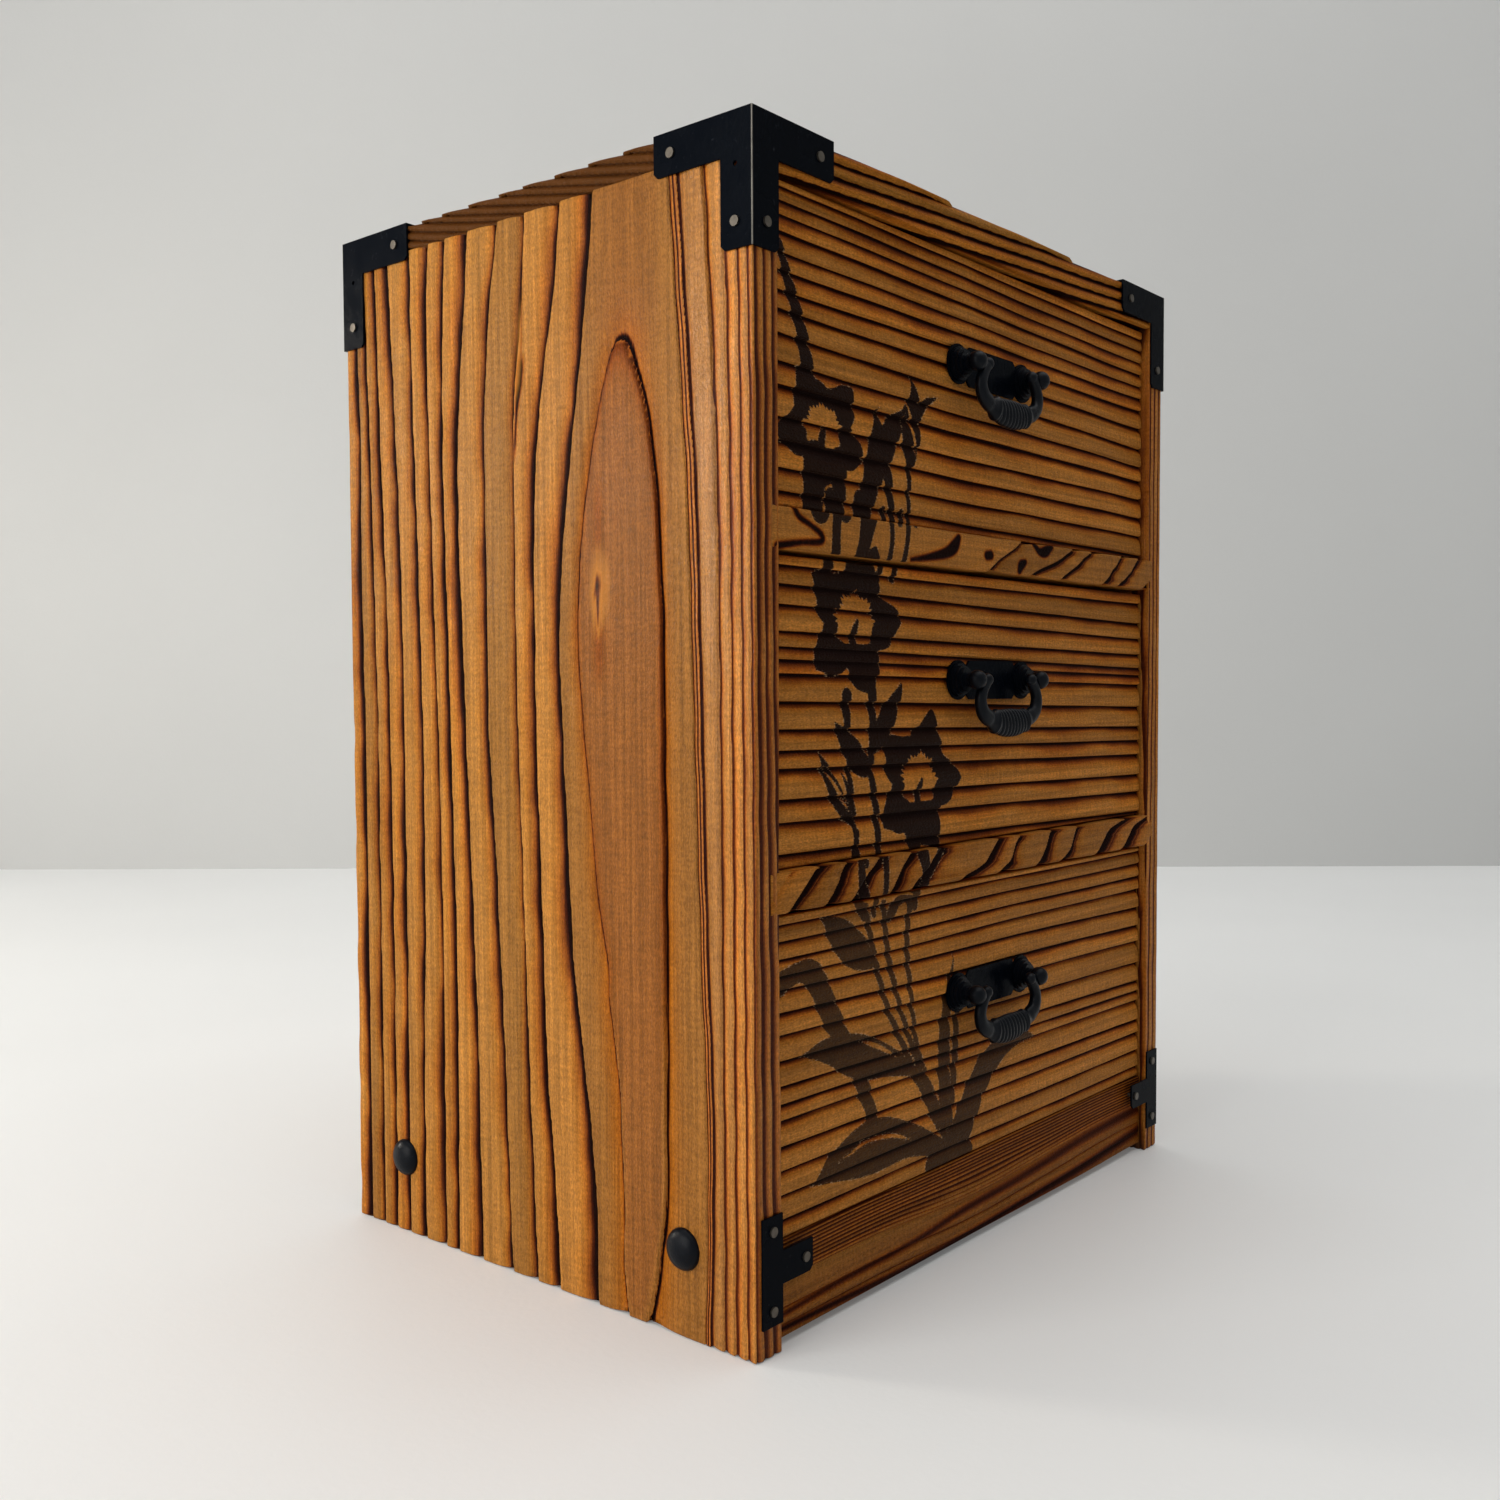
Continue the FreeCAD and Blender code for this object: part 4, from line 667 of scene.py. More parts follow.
FLOWERS = (
    ((41, 306), 26, 48, 0.84),
    ((59, 241.5), 29, 2, 0.95),
    ((99.5, 184), 29, 0, 0.95),
)


def stencil(x, z, depth):
    """Height of the stencil in millimetres, above 0 where there is ink: the largest of the
    strokes and flowers, less the pale veins, and nothing on the sides and back of a piece."""
    x = x - LEFT_MM
    height = np.full(x.shape, NOTHING)
    for middle, size, turn, squash in FLOWERS:
        height = np.maximum(height, flower(x, z, middle, size, turn, squash))
    for points, widths, *vein in STROKES:
        mark = stroke(x, z, points, widths)
        height = np.minimum(height, -mark) if vein else np.maximum(height, mark)
    return np.clip(np.where(depth > 1.5, -6, height), -6, 6)


# Materials

def add(tree, kind, inputs=(), output=0, stops=(), **settings):
    """Adds a node, sets its properties, fills or links its inputs, given in order or by name or
    number, and gives back one output. A MapRange takes the value, both ends it comes from and
    both that it goes to."""
    item = tree.nodes.new("ShaderNode" + kind)
    for key, value in settings.items():
        setattr(item, key, value)
    for key, value in inputs.items() if isinstance(inputs, dict) else enumerate(inputs):
        if isinstance(value, bpy.types.NodeSocket):
            tree.links.new(value, item.inputs[key])
        else:
            item.inputs[key].default_value = value
    for k, (place, value) in enumerate(stops):
        ramp = item.color_ramp.elements
        element = ramp[k] if k < 2 else ramp.new(place)
        element.position = place
        element.color = (*value, 1)
    return item.outputs[output]


def new_tree(owner):
    """The emptied node tree of a material or world, and the surface socket of a new output."""
    owner.use_nodes = True
    tree = owner.node_tree
    tree.nodes.clear()
    kind = "World" if isinstance(owner, bpy.types.World) else "Material"
    return tree, tree.nodes.new(f"ShaderNodeOutput{kind}").inputs["Surface"]


def brushed_wood(name, grain, strength, line, shine, fade=6.0, ink=None):
    """Brushed, charred and lacquered softwood, with painted shade in its valleys.

    The soft part of each ring is brushed out, so a black charred line stands in each valley and
    fades through red brown and orange, partly char and partly painted shade of the valley under the
    ridge before it, and the pale ring rises to a polished ridge. Fibres run along the grain, about
    0.7 mm wide, crossed by faint ripples 1.2 mm apart, with a speckle of 0.4 mm where the lacquer
    beads, whose lighter specks in the colour are in part painted glints. The lacquer gives a sharp
    thin sheen over a half matt surface.
    strength scales the brightness, line is the width of the widest lines in millimetres, fade the
    reach of their charring and painted shade as a multiple of it, shine scales the lacquer, and ink
    is the colour and cover of the stencil, where there is one.
    """
    wood = bpy.context.scene.cabinet_wood
    material = bpy.data.materials.new(name)
    tree, surface = new_tree(material)
    place = add(tree, "TexCoord", output="Object")

    # Each noise: cells to the metre across the grain and along it, detail and roughness.
    noises = []
    for across, along, detail, roughness in (
            (1400.0, 45.0, 3.0, 0.6), (620.0, 9.0, 2.0, 0.5), (230.0, 12.0, 2.0, 0.5),
            (60.0, 26.0, 2.0, 0.5), (2300.0, 900.0, 2.0, 0.5), (170.0, 850.0, 2.0, 0.5)):
        scale = [across] * 3
        scale[grain] = along
        spot = add(tree, "Mapping", {"Vector": place, "Scale": scale})
        noises.append(add(tree, "TexNoise", {"Vector": spot, "Scale": 1.0, "Detail": detail,
                                             "Roughness": roughness}, "Fac"))
    fibre, streaks, tone, swell, speck, ripple = noises

    ring, gap, heart, knot, end, glow, burnt, scorch, polish_and_sheen = (
        add(tree, "Attribute", output="Fac", attribute_name=key)
        for key in ("ring", "gap", "heart", "knot", "end", "glow", "char", "scorch", "polish_and_sheen"))

    ragged = add(tree, "Math", (fibre, -0.5), operation="ADD")
    moved = add(tree, "Math", (ragged, 0.04, ring), operation="MULTIPLY_ADD")
    share = add(tree, "Math", (moved,), operation="FRACT")
    number = add(tree, "Math", (moved,), operation="FLOOR")
    own_tone = add(tree, "TexWhiteNoise", {"W": number}, "Value", noise_dimensions="1D")
    past = add(tree, "Math", (share, gap), operation="MULTIPLY")
    left_over = add(tree, "Math", (1.0, share), operation="SUBTRACT")
    before = add(tree, "Math", (left_over, gap), operation="MULTIPLY")

    own_width = add(tree, "MapRange", (own_tone, 0, 1, 0.75, 1.35))
    along_width = add(tree, "MapRange", (swell, 0.3, 0.7, 0.6, 1.4))
    widest = burnt
    for factor in (line, own_width, along_width):
        widest = add(tree, "Math", (widest, factor), operation="MULTIPLY")
    narrow = add(tree, "Math", (gap, 0.28), operation="MULTIPLY")
    width = add(tree, "Math", (widest, narrow), operation="MINIMUM")
    times = add(tree, "Math", (past, width), operation="DIVIDE")
    faded = add(tree, "Math", (times, fade), operation="DIVIDE")
    # Darkness past a line: the char of the line, then a painted shade over the valley beside it,
    # fading out at fade times the line's width.
    falling = ((0.0, 1.0), (0.8 / fade, 0.97), (1.25 / fade, 0.74), (0.3, 0.46), (0.46, 0.26),
               (0.68, 0.11), (1.0, 0.0))
    scorch_and_shade = add(tree, "ValToRGB", {"Fac": faded}, "Color",
                stops=[(at, (value,) * 3) for at, value in falling])
    edge = add(tree, "MapRange", (before, 0.06, 0.34, 1.0, 0.0), interpolation_type="SMOOTHSTEP")
    off_line = add(tree, "MapRange", (past, 0.4, 1.3))
    golden = add(tree, "Math", (glow, off_line), operation="MULTIPLY")
    bleached = add(tree, "MapRange", (golden, 0, 1, 1.0, 0.1))
    scorch_and_shade = add(tree, "Math", (scorch_and_shade, bleached), operation="MULTIPLY")
    dark = add(tree, "Math", (scorch_and_shade, edge), operation="MAXIMUM")
    depth = add(tree, "Math", (burnt, 0.5), operation="POWER")
    dark = add(tree, "Math", (dark, depth), operation="MULTIPLY")
    uneven = add(tree, "MapRange", (streaks, 0, 1, 0.8, 1.2))
    smoked = add(tree, "Math", (scorch, uneven), operation="MULTIPLY")
    dark = add(tree, "Math", (dark, smoked), operation="MAXIMUM")

    pale = add(tree, "Mix", {0: tone, 6: (*[c * 0.78 for c in wood.early], 1),
                             7: (*[min(1, c * 1.2) for c in wood.early], 1)},
               2, data_type="RGBA")
    red = add(tree, "Mix", {0: heart, 6: pale, 7: (*wood.heart, 1)}, 2, data_type="RGBA")
    level = add(tree, "MapRange", (own_tone, 0, 1, 0.8 * strength, 1.2 * strength))
    # Painted sheen: lightens the colour of the side panels' front ridges by up to 1.36 times.
    painted_sheen = add(tree, "MapRange", (polish_and_sheen, 0, 1, 1.0, 1.36))
    level = add(tree, "Math", (level, painted_sheen), operation="MULTIPLY")
    # Fibres, streaks, specks and ripples vary the colour; the lighter specks are in part painted
    # glints of the beaded lacquer.
    for source, low, high in ((fibre, 0.86, 1.13), (streaks, 0.79, 1.2), (speck, 0.74, 1.27),
                              (ripple, 0.88, 1.1)):
        part = add(tree, "MapRange", (source, 0.3, 0.7, low, high))
        level = add(tree, "Math", (level, part), operation="MULTIPLY")
    body = add(tree, "VectorMath", {0: red, "Scale": level}, operation="SCALE")

    # Colour of the darkness, from plain wood to black: char of the lines and painted shade in the
    # valleys.
    charred_and_shaded = add(tree, "ValToRGB", {"Fac": dark}, "Color", stops=(
        (0.0, (1, 1, 1)), (0.14, (1.0, 0.91, 0.66)), (0.3, (0.94, 0.71, 0.4)),
        (0.48, (0.56, 0.32, 0.19)), (0.72, (0.14, 0.055, 0.035)), (0.9, (0.03, 0.01, 0.007)),
        (1.0, (0.015, 0.005, 0.004))))
    coloured = add(tree, "Mix", {0: 1.0, 6: body, 7: charred_and_shaded}, 2, data_type="RGBA",
                   blend_type="MULTIPLY")
    darker = add(tree, "Mix", {0: 1.0, 6: red, 7: (*srgb("7E7274"), 1)}, 2,
                 data_type="RGBA", blend_type="MULTIPLY")
    darker = add(tree, "Mix", {0: 0.5, 6: darker, 7: charred_and_shaded}, 2, data_type="RGBA",
                 blend_type="MULTIPLY")
    ended = add(tree, "Mix", {0: end, 6: coloured, 7: darker}, 2, data_type="RGBA")
    lit = add(tree, "Mix", {0: 1.0, 6: ended, 7: (1.2, 0.92, 0.28, 1)}, 2, data_type="RGBA",
              blend_type="MULTIPLY")
    ended = add(tree, "Mix", {0: golden, 6: ended, 7: lit}, 2, data_type="RGBA")
    streaky = add(tree, "Math", (streaks, 1.0), operation="ADD")
    streaky = add(tree, "Math", (streaky, knot), operation="MULTIPLY")
    resin = add(tree, "ValToRGB", {"Fac": streaky}, "Color", stops=(
        (0.0, srgb("D28E38")), (0.55, srgb("C67C28")), (0.8, srgb("6A3010")),
        (1.0, tuple(wood.knot))))
    near = add(tree, "MapRange", (streaky, 0.05, 0.75, 0, 0.95), interpolation_type="SMOOTHSTEP")
    final = add(tree, "Mix", {0: near, 6: ended, 7: resin}, 2, data_type="RGBA")
    if ink:
        mark = add(tree, "Attribute", output="Fac", attribute_name="ink")
        spray = add(tree, "Math", (ragged, 1.1, mark), operation="MULTIPLY_ADD")
        inked = add(tree, "MapRange", (spray, -0.12, 0.18, 0, ink[1]),
                    interpolation_type="SMOOTHSTEP")
        final = add(tree, "Mix", {0: inked, 6: final, 7: (*ink[0], 1)}, 2, data_type="RGBA")
        # Pale cream specks at the ink's edge: chips in the ink, and in part painted glints on the
        # lacquer.
        off_edge = add(tree, "Math", (mark,), operation="ABSOLUTE")
        at_edge = add(tree, "MapRange", (off_edge, 0, 0.7, 1.0, 0.0))
        ink_chip_and_glint = add(tree, "MapRange", (speck, 0.56, 0.64))
        for factor in (at_edge, 0.75):
            ink_chip_and_glint = add(tree, "Math", (ink_chip_and_glint, factor), operation="MULTIPLY")
        final = add(tree, "Mix", {0: ink_chip_and_glint, 6: final, 7: (*srgb("D3AC82"), 1)}, 2,
                    data_type="RGBA")

    rough = add(tree, "MapRange", (dark, 0, 1, 0.4, 0.62))
    rough = add(tree, "Math", (ragged, 0.35, rough), operation="MULTIPLY_ADD")
    height = add(tree, "Math", (speck, 1.6, fibre), operation="MULTIPLY_ADD")
    bump = add(tree, "Bump", {"Height": height, "Strength": 0.8, "Distance": 0.0004})
    coat_bump = add(tree, "Bump", {"Height": height, "Strength": 0.5, "Distance": 0.0003})
    lacquer = add(tree, "MapRange", (polish_and_sheen, 0, 1, wood.gloss * shine, wood.gloss * shine * 3.2))
    bare = add(tree, "MapRange", (dark, 0, 1, 1.0, 0.15))
    coat = add(tree, "Math", (lacquer, bare), operation="MULTIPLY")
    shader = add(tree, "BsdfPrincipled", {
        "Base Color": final, "Roughness": rough, "IOR": 1.45, "Specular IOR Level": 0.03,
        "Coat Weight": coat, "Coat Roughness": 0.16, "Normal": bump, "Coat Normal": coat_bump})
    tree.links.new(shader, surface)
    return material


def planed_wood(name, grain, colour):
    """Planed, oiled softwood of the hidden boards: pale, half matt, with soft rings about 5 mm
    apart and fibres along the grain."""
    material = bpy.data.materials.new(name)
    tree, surface = new_tree(material)
    place = add(tree, "TexCoord", output="Object")
    stretch = [200.0, 200.0, 200.0]
    fine = [1300.0, 1300.0, 1300.0]
    stretch[grain], fine[grain] = 5.0, 30.0
    slow = add(tree, "Mapping", {"Vector": place, "Scale": stretch})
    quick = add(tree, "Mapping", {"Vector": place, "Scale": fine})
    rings = add(tree, "TexNoise", {"Vector": slow, "Scale": 0.35, "Detail": 1.0,
                                   "Distortion": 0.4}, "Fac")
    spun = add(tree, "Math", (rings, 13.0), operation="MULTIPLY")
    share = add(tree, "Math", (spun,), operation="FRACT")
    fibre = add(tree, "TexNoise", {"Vector": quick, "Scale": 1.0, "Detail": 3.0}, "Fac")
    shade = add(tree, "ValToRGB", {"Fac": share}, "Color", stops=(
        (0.0, srgb("B98A5A")), (0.12, srgb("D9B080")), (0.5, (1, 1, 1)), (0.88, srgb("E6C79C")),
        (1.0, srgb("B98A5A"))))
    streak = add(tree, "MapRange", (fibre, 0.25, 0.75, 0.8, 1.1))
    base = add(tree, "VectorMath", {0: colour, "Scale": streak}, operation="SCALE")
    mixed = add(tree, "Mix", {0: 0.75, 6: base, 7: shade}, 2, data_type="RGBA",
                blend_type="MULTIPLY")
    bump = add(tree, "Bump", {"Height": fibre, "Strength": 0.4, "Distance": 0.0001})
    rough = add(tree, "MapRange", (fibre, 0, 1, 0.5, 0.72))
    shader = add(tree, "BsdfPrincipled", {"Base Color": mixed, "Roughness": rough, "IOR": 1.5,
                                          "Normal": bump})
    tree.links.new(shader, surface)
    return material


def black_iron(name, colour, rough_range, grain_size, depth, shine, worn=False):
    """Black lacquered sheet or cast iron: near black, satin, slightly uneven, with small paler
    specks where the lacquer is thin, and if worn a line along the cabinet's upright front edges.
    grain_size is in grains to the metre, depth that of their bumps in metres."""
    material = bpy.data.materials.new(name)
    tree, surface = new_tree(material)
    place = add(tree, "TexCoord", output="Object")
    uneven = add(tree, "TexNoise", {"Vector": place, "Scale": grain_size, "Detail": 4.0,
                                    "Roughness": 0.55}, "Fac")
    patch = add(tree, "TexNoise", {"Vector": place, "Scale": 90.0, "Detail": 3.0}, "Fac")
    specks = add(tree, "MapRange", (uneven, 0.66, 0.82))
    base = add(tree, "Mix", {0: specks, 6: (*colour, 1), 7: (*srgb("2A2D33"), 1)}, 2,
               data_type="RGBA")
    if worn:
        x, y = (add(tree, "SeparateXYZ", {0: place}, k) for k in range(2))
        side = add(tree, "Math", (x,), operation="ABSOLUTE")
        bend = patch
        for way, face, sign in ((side, -LEFT_X, 1), (y, FRONT_Y, -1)):
            near = add(tree, "MapRange", (way, face + sign * 0.00025, face + sign * 0.0006))
            bend = add(tree, "Math", (bend, near), operation="MULTIPLY")
        base = add(tree, "Mix", {0: bend, 6: base, 7: (*srgb("B9B4AA"), 1)}, 2,
                   data_type="RGBA")
    rough = add(tree, "MapRange", (patch, 0.3, 0.7, rough_range[0], rough_range[1]))
    bump = add(tree, "Bump", {"Height": uneven, "Strength": 0.6, "Distance": depth})
    shader = add(tree, "BsdfPrincipled", {"Base Color": base, "Roughness": rough, "IOR": 1.5,
                                          "Metallic": 0.0, "Specular IOR Level": shine,
                                          "Normal": bump})
    tree.links.new(shader, surface)
    return material


def bare_metal(name, colour, rough):
    """Dull steel or bronze of pins and nuts: metal with fine scratches and a dark patina."""
    material = bpy.data.materials.new(name)
    tree, surface = new_tree(material)
    place = add(tree, "TexCoord", output="Object")
    grain = add(tree, "TexNoise", {"Vector": place, "Scale": 1600.0, "Detail": 3.0}, "Fac")
    patina = add(tree, "TexNoise", {"Vector": place, "Scale": 420.0, "Detail": 2.0}, "Fac")
    base = add(tree, "Mix", {0: patina, 6: (*colour, 1), 7: (*[c * 0.45 for c in colour], 1)}, 2,
               data_type="RGBA")
    roughness = add(tree, "MapRange", (patina, 0, 1, rough - 0.12, rough + 0.18))
    bump = add(tree, "Bump", {"Height": grain, "Strength": 0.3, "Distance": 0.00008})
    shader = add(tree, "BsdfPrincipled", {"Base Color": base, "Roughness": roughness,
                                          "Metallic": 1.0, "Normal": bump})
    tree.links.new(shader, surface)
    return material


def finish_nodes(material, *names):
    """Gives CAD nodes their material."""
    for name in names:
        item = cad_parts[name]
        item.data.materials.clear()
        item.data.materials.append(material)


def finish_piece(item, body, nodes, material):
    """Sets a new piece on its body, in place of CAD nodes, with its material."""
    item.data.materials.append(material)
    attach(item, body)
    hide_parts(*nodes)


def brush(node, body, axes, box, steps, rings, relief, material, **more):
    """Sets a brushed board in place of a CAD node. relief is a multiple of the wood's own."""
    wood = bpy.context.scene.cabinet_wood
    item = make_board(node + "_brushed", axes, box, steps, rings, wood.relief * relief,
                      wood.rounding, **more)
    finish_piece(item, body, [node], material)


def board_box(node, axes):
    """Lowest and highest places of a CAD node along a board's grain, width and depth."""
    low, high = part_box(node)
    return [low[k] for k in picks_of(axes)], [high[k] for k in picks_of(axes)]


# Operators

class CABINET_OT_side_panels(bpy.types.Operator):
    """Make both side panels with upright brushed grain"""
    bl_idname = "cabinet.side_panels"
    bl_label = "Side Panels"

    def execute(self, context):
        wood = context.scene.cabinet_wood
        material = brushed_wood("brushed softwood, upright", 2, strength=0.84, line=1.3, shine=2)
        extras = {"heart": side_heart, "char": side_char, "glow": side_glow,
                  "scorch": side_scorch, "polish_and_sheen": side_polish_and_sheen}
        for name, axes, more in (
                ("left_side_panel", ("Z", "Y", "X"), {"knot": side_knot}),
                ("right_side_panel", ("Z", "Y", "-X"), {})):
            lows, highs = board_box(name, axes)
            highs[0] -= LAP
            # The columns stand closest at the close lines, 17.5 to 38.5 mm from the front.
            columns = np.unique(np.round(np.concatenate([
                stations(lows[1], FRONT_Y + 0.0175, 0.0005, wood.rounding)[:-3],
                np.arange(0.0175, 0.0385, 0.0002) + FRONT_Y,
                np.arange(0.0385, 0.054, 0.00028) + FRONT_Y,
                stations(FRONT_Y + 0.0545, highs[1], 0.00055, wood.rounding)[3:]]), 7))
            brush(name, "carcass", axes, (lows, highs), (0.0027, columns, 0.0007), side_rings, 1,
                  material, extras={**extras, **more}, proud=side_crest)
        return {"FINISHED"}


class CABINET_OT_top_board(bpy.types.Operator):
    """Make the top board, with deep brushed ridges from side to side"""
    bl_idname = "cabinet.top_board"
    bl_label = "Top Board"

    def execute(self, context):
        axes = ("X", "Y", "-Z")
        lows, highs = board_box("top_board", axes)

        def mitre(places):
            """Draws the lower part of each end inwards, inside the side panel."""
            inward = np.maximum(places[:, 2] - LAP, 0) * 1.3
            near_end = smooth(abs(lows[0]) - 0.004, abs(lows[0]) - 0.001, np.abs(places[:, 0]))
            places[:, 0] -= np.sign(places[:, 0]) * inward * near_end
            return places

        material = brushed_wood("brushed softwood, top", 0, strength=0.96, line=1.1, shine=0.6)
        brush("top_board", "carcass", axes, (lows, highs), (0.0026, 0.0006, 0.0006), top_rings,
              1.75, material, shape=mitre)
        return {"FINISHED"}


class CABINET_OT_drawer_fronts(bpy.types.Operator):
    """Make the three drawer fronts with level brushed grain and the stencilled flowers"""
    bl_idname = "cabinet.drawer_fronts"
    bl_label = "Drawer Fronts"

    def execute(self, context):
        wood = context.scene.cabinet_wood
        ink = context.scene.cabinet_stencil
        plain = brushed_wood("brushed softwood, stencilled", 0, strength=1.27, line=0.68,
                             shine=0.5, fade=9.5, ink=(ink.ink, 0.985))
        faded = brushed_wood("brushed softwood, faded stencil", 0, strength=1.3, line=0.46,
                             shine=0.9, fade=8.5, ink=(ink.faded_ink, 0.88))
        axes = ("X", "Z", "Y")
        ends = (LEFT_MM + 30, LEFT_MM + 245)
        for name, seed, inked, spacing, material in (
                ("top_drawer", 40, 0.135, 0.00095, plain),
                ("middle_drawer", 41, 0.135, 0.00095, plain),
                ("bottom_drawer", 42, 0.19, 0.00105, faded)):
            lows, highs = board_box(name + "_front", axes)
            # The columns stand closer on the left, as far as the ink reaches.
            fine = stations(lows[0], LEFT_X + inked, spacing, wood.rounding)[:-3]
            coarse = stations(LEFT_X + inked, highs[0], 0.0021, wood.rounding)[3:]
            columns = np.unique(np.round(np.concatenate([fine, coarse]), 8))
            rings = tied_rings(*DRAWER_LINES[name], ends, seed)
            brush(name + "_front", name, axes, (lows, highs), (columns, 0.00036, 0.0007), rings,
                  1.2, material, extras={"ink": stencil, "heart": 0.5})
        return {"FINISHED"}


class CABINET_OT_rails(bpy.types.Operator):
    """Make the two front rails, whose grain crosses them at a slant"""
    bl_idname = "cabinet.rails"
    bl_label = "Front Rails"

    def execute(self, context):
        ink = context.scene.cabinet_stencil
        axes = ("X", "Z", "Y")
        for name, lines, marks, line in (
                ("upper_rail", UPPER_RAIL_LINES, {"scorch": rail_marks}, 1.6),
                ("lower_rail", LOWER_RAIL_LINES, {}, 3.4)):
            material = brushed_wood(f"brushed softwood, {name}", 0, strength=1.06, line=line,
                                    shine=0.5, fade=4, ink=(ink.ink, 0.97))
            lows, highs = board_box(name, axes)
            levels = np.linspace(lows[1], highs[1], len(lines[0])) * 1000
            brush(name, "carcass", axes, (lows, highs), (0.0007, 0.0005, 0.0012),
                  crossing_rings(levels, lines), 0.8, material,
                  extras={"ink": stencil, "heart": 0.6, **marks})
        return {"FINISHED"}


class CABINET_OT_kick_board(bpy.types.Operator):
    """Make the kick board, with close grain above and broad dark grain below"""
    bl_idname = "cabinet.kick_board"
    bl_label = "Kick Board"

    def execute(self, context):
        axes = ("X", "Z", "Y")
        # Heights of the lines at both ends: twelve close ones above and four broad ones below.
        close = 36 - 1.3 * np.arange(12)
        left = np.concatenate([close + 0.8, (12.5, 7, 2, -4)])
        right = np.concatenate([close, (13, 8, 3, -3)])
        level = tied_rings(left, right, (LEFT_MM + 20, LEFT_MM + 290), 77, 0.8)

        def rings(x, z, depth):
            """Lines that sag towards the middle of the board's left half."""
            sag = 3.2 * bell(x, LEFT_MM + 140, 62) * (1 - smooth(20, 30, z))
            return level(x, z + sag, depth)

        extras = {"char": lambda x, z, depth: 0.2 + 0.4 * smooth(21, 25, z),
                  "heart": lambda x, z, depth: 0.9 - 0.5 * smooth(15, 24, z),
                  "scorch": kick_bands}
        material = brushed_wood("brushed softwood, kick board", 0, strength=0.88, line=1.2,
                                shine=0.5)
        brush("kick_board", "carcass", axes, board_box("kick_board", axes),
              (0.0012, 0.0003, 0.001), rings, 0.7, material, extras=extras)
        return {"FINISHED"}


class CABINET_OT_plain_boards(bpy.types.Operator):
    """Finish the planed boards inside and behind the cabinet"""
    bl_idname = "cabinet.plain_boards"
    bl_label = "Planed Boards"

    def execute(self, context):
        colour = srgb("C9995F")
        along_x = planed_wood("planed softwood, across", 0, colour)
        along_y = planed_wood("planed softwood, front to back", 1, colour)
        upright = planed_wood("planed softwood, back", 2, srgb("B98A55"))
        pegs = planed_wood("split bamboo pegs", 1, srgb("D8B377"))
        finish_nodes(upright, "back_panel")
        finish_nodes(along_x, "bottom_board", "upper_rear_rail", "lower_rear_rail")
        for side in ("left", "right"):
            finish_nodes(along_y, f"upper_{side}_runner", f"lower_{side}_runner")
        for drawer in DRAWERS:
            finish_nodes(along_y, drawer + "_left_side", drawer + "_right_side")
            finish_nodes(along_x, drawer + "_back", drawer + "_bottom")
            finish_nodes(pegs, drawer + "_pegs")
        return {"FINISHED"}


class CABINET_OT_ironwork(bpy.types.Operator):
    """Finish the irons, plates, posts, pins and nails"""
    bl_idname = "cabinet.ironwork"
    bl_label = "Ironwork"

    def execute(self, context):
        iron = tuple(context.scene.cabinet_pull.iron)
        sheet = black_iron("black lacquered sheet iron", iron, (0.16, 0.32), grain_size=500.0,
                           depth=0.00012, shine=0.022, worn=True)
        cast = black_iron("black lacquered cast iron", iron, (0.26, 0.4), grain_size=900.0,
                          depth=0.00015, shine=0.1)
        pins = bare_metal("browned steel pins", srgb("6E675E"), 0.42)
        steel = bare_metal("zinc plated steel nuts", srgb("A9A9A4"), 0.4)
        for side in ("left", "right"):
            finish_nodes(sheet, f"front_{side}_corner_iron", f"rear_{side}_corner_iron",
                         side + "_t_plate")
        finish_nodes(cast, "dome_nails")
        finish_nodes(pins, "corner_iron_pins", "t_plate_pins", "back_panel_nails")
        for drawer in DRAWERS:
            finish_nodes(sheet, drawer + "_pull_plate")
            finish_nodes(cast, drawer + "_pull_rosettes", drawer + "_pull_posts")
            finish_nodes(steel, drawer + "_pull_nuts")
        return {"FINISHED"}


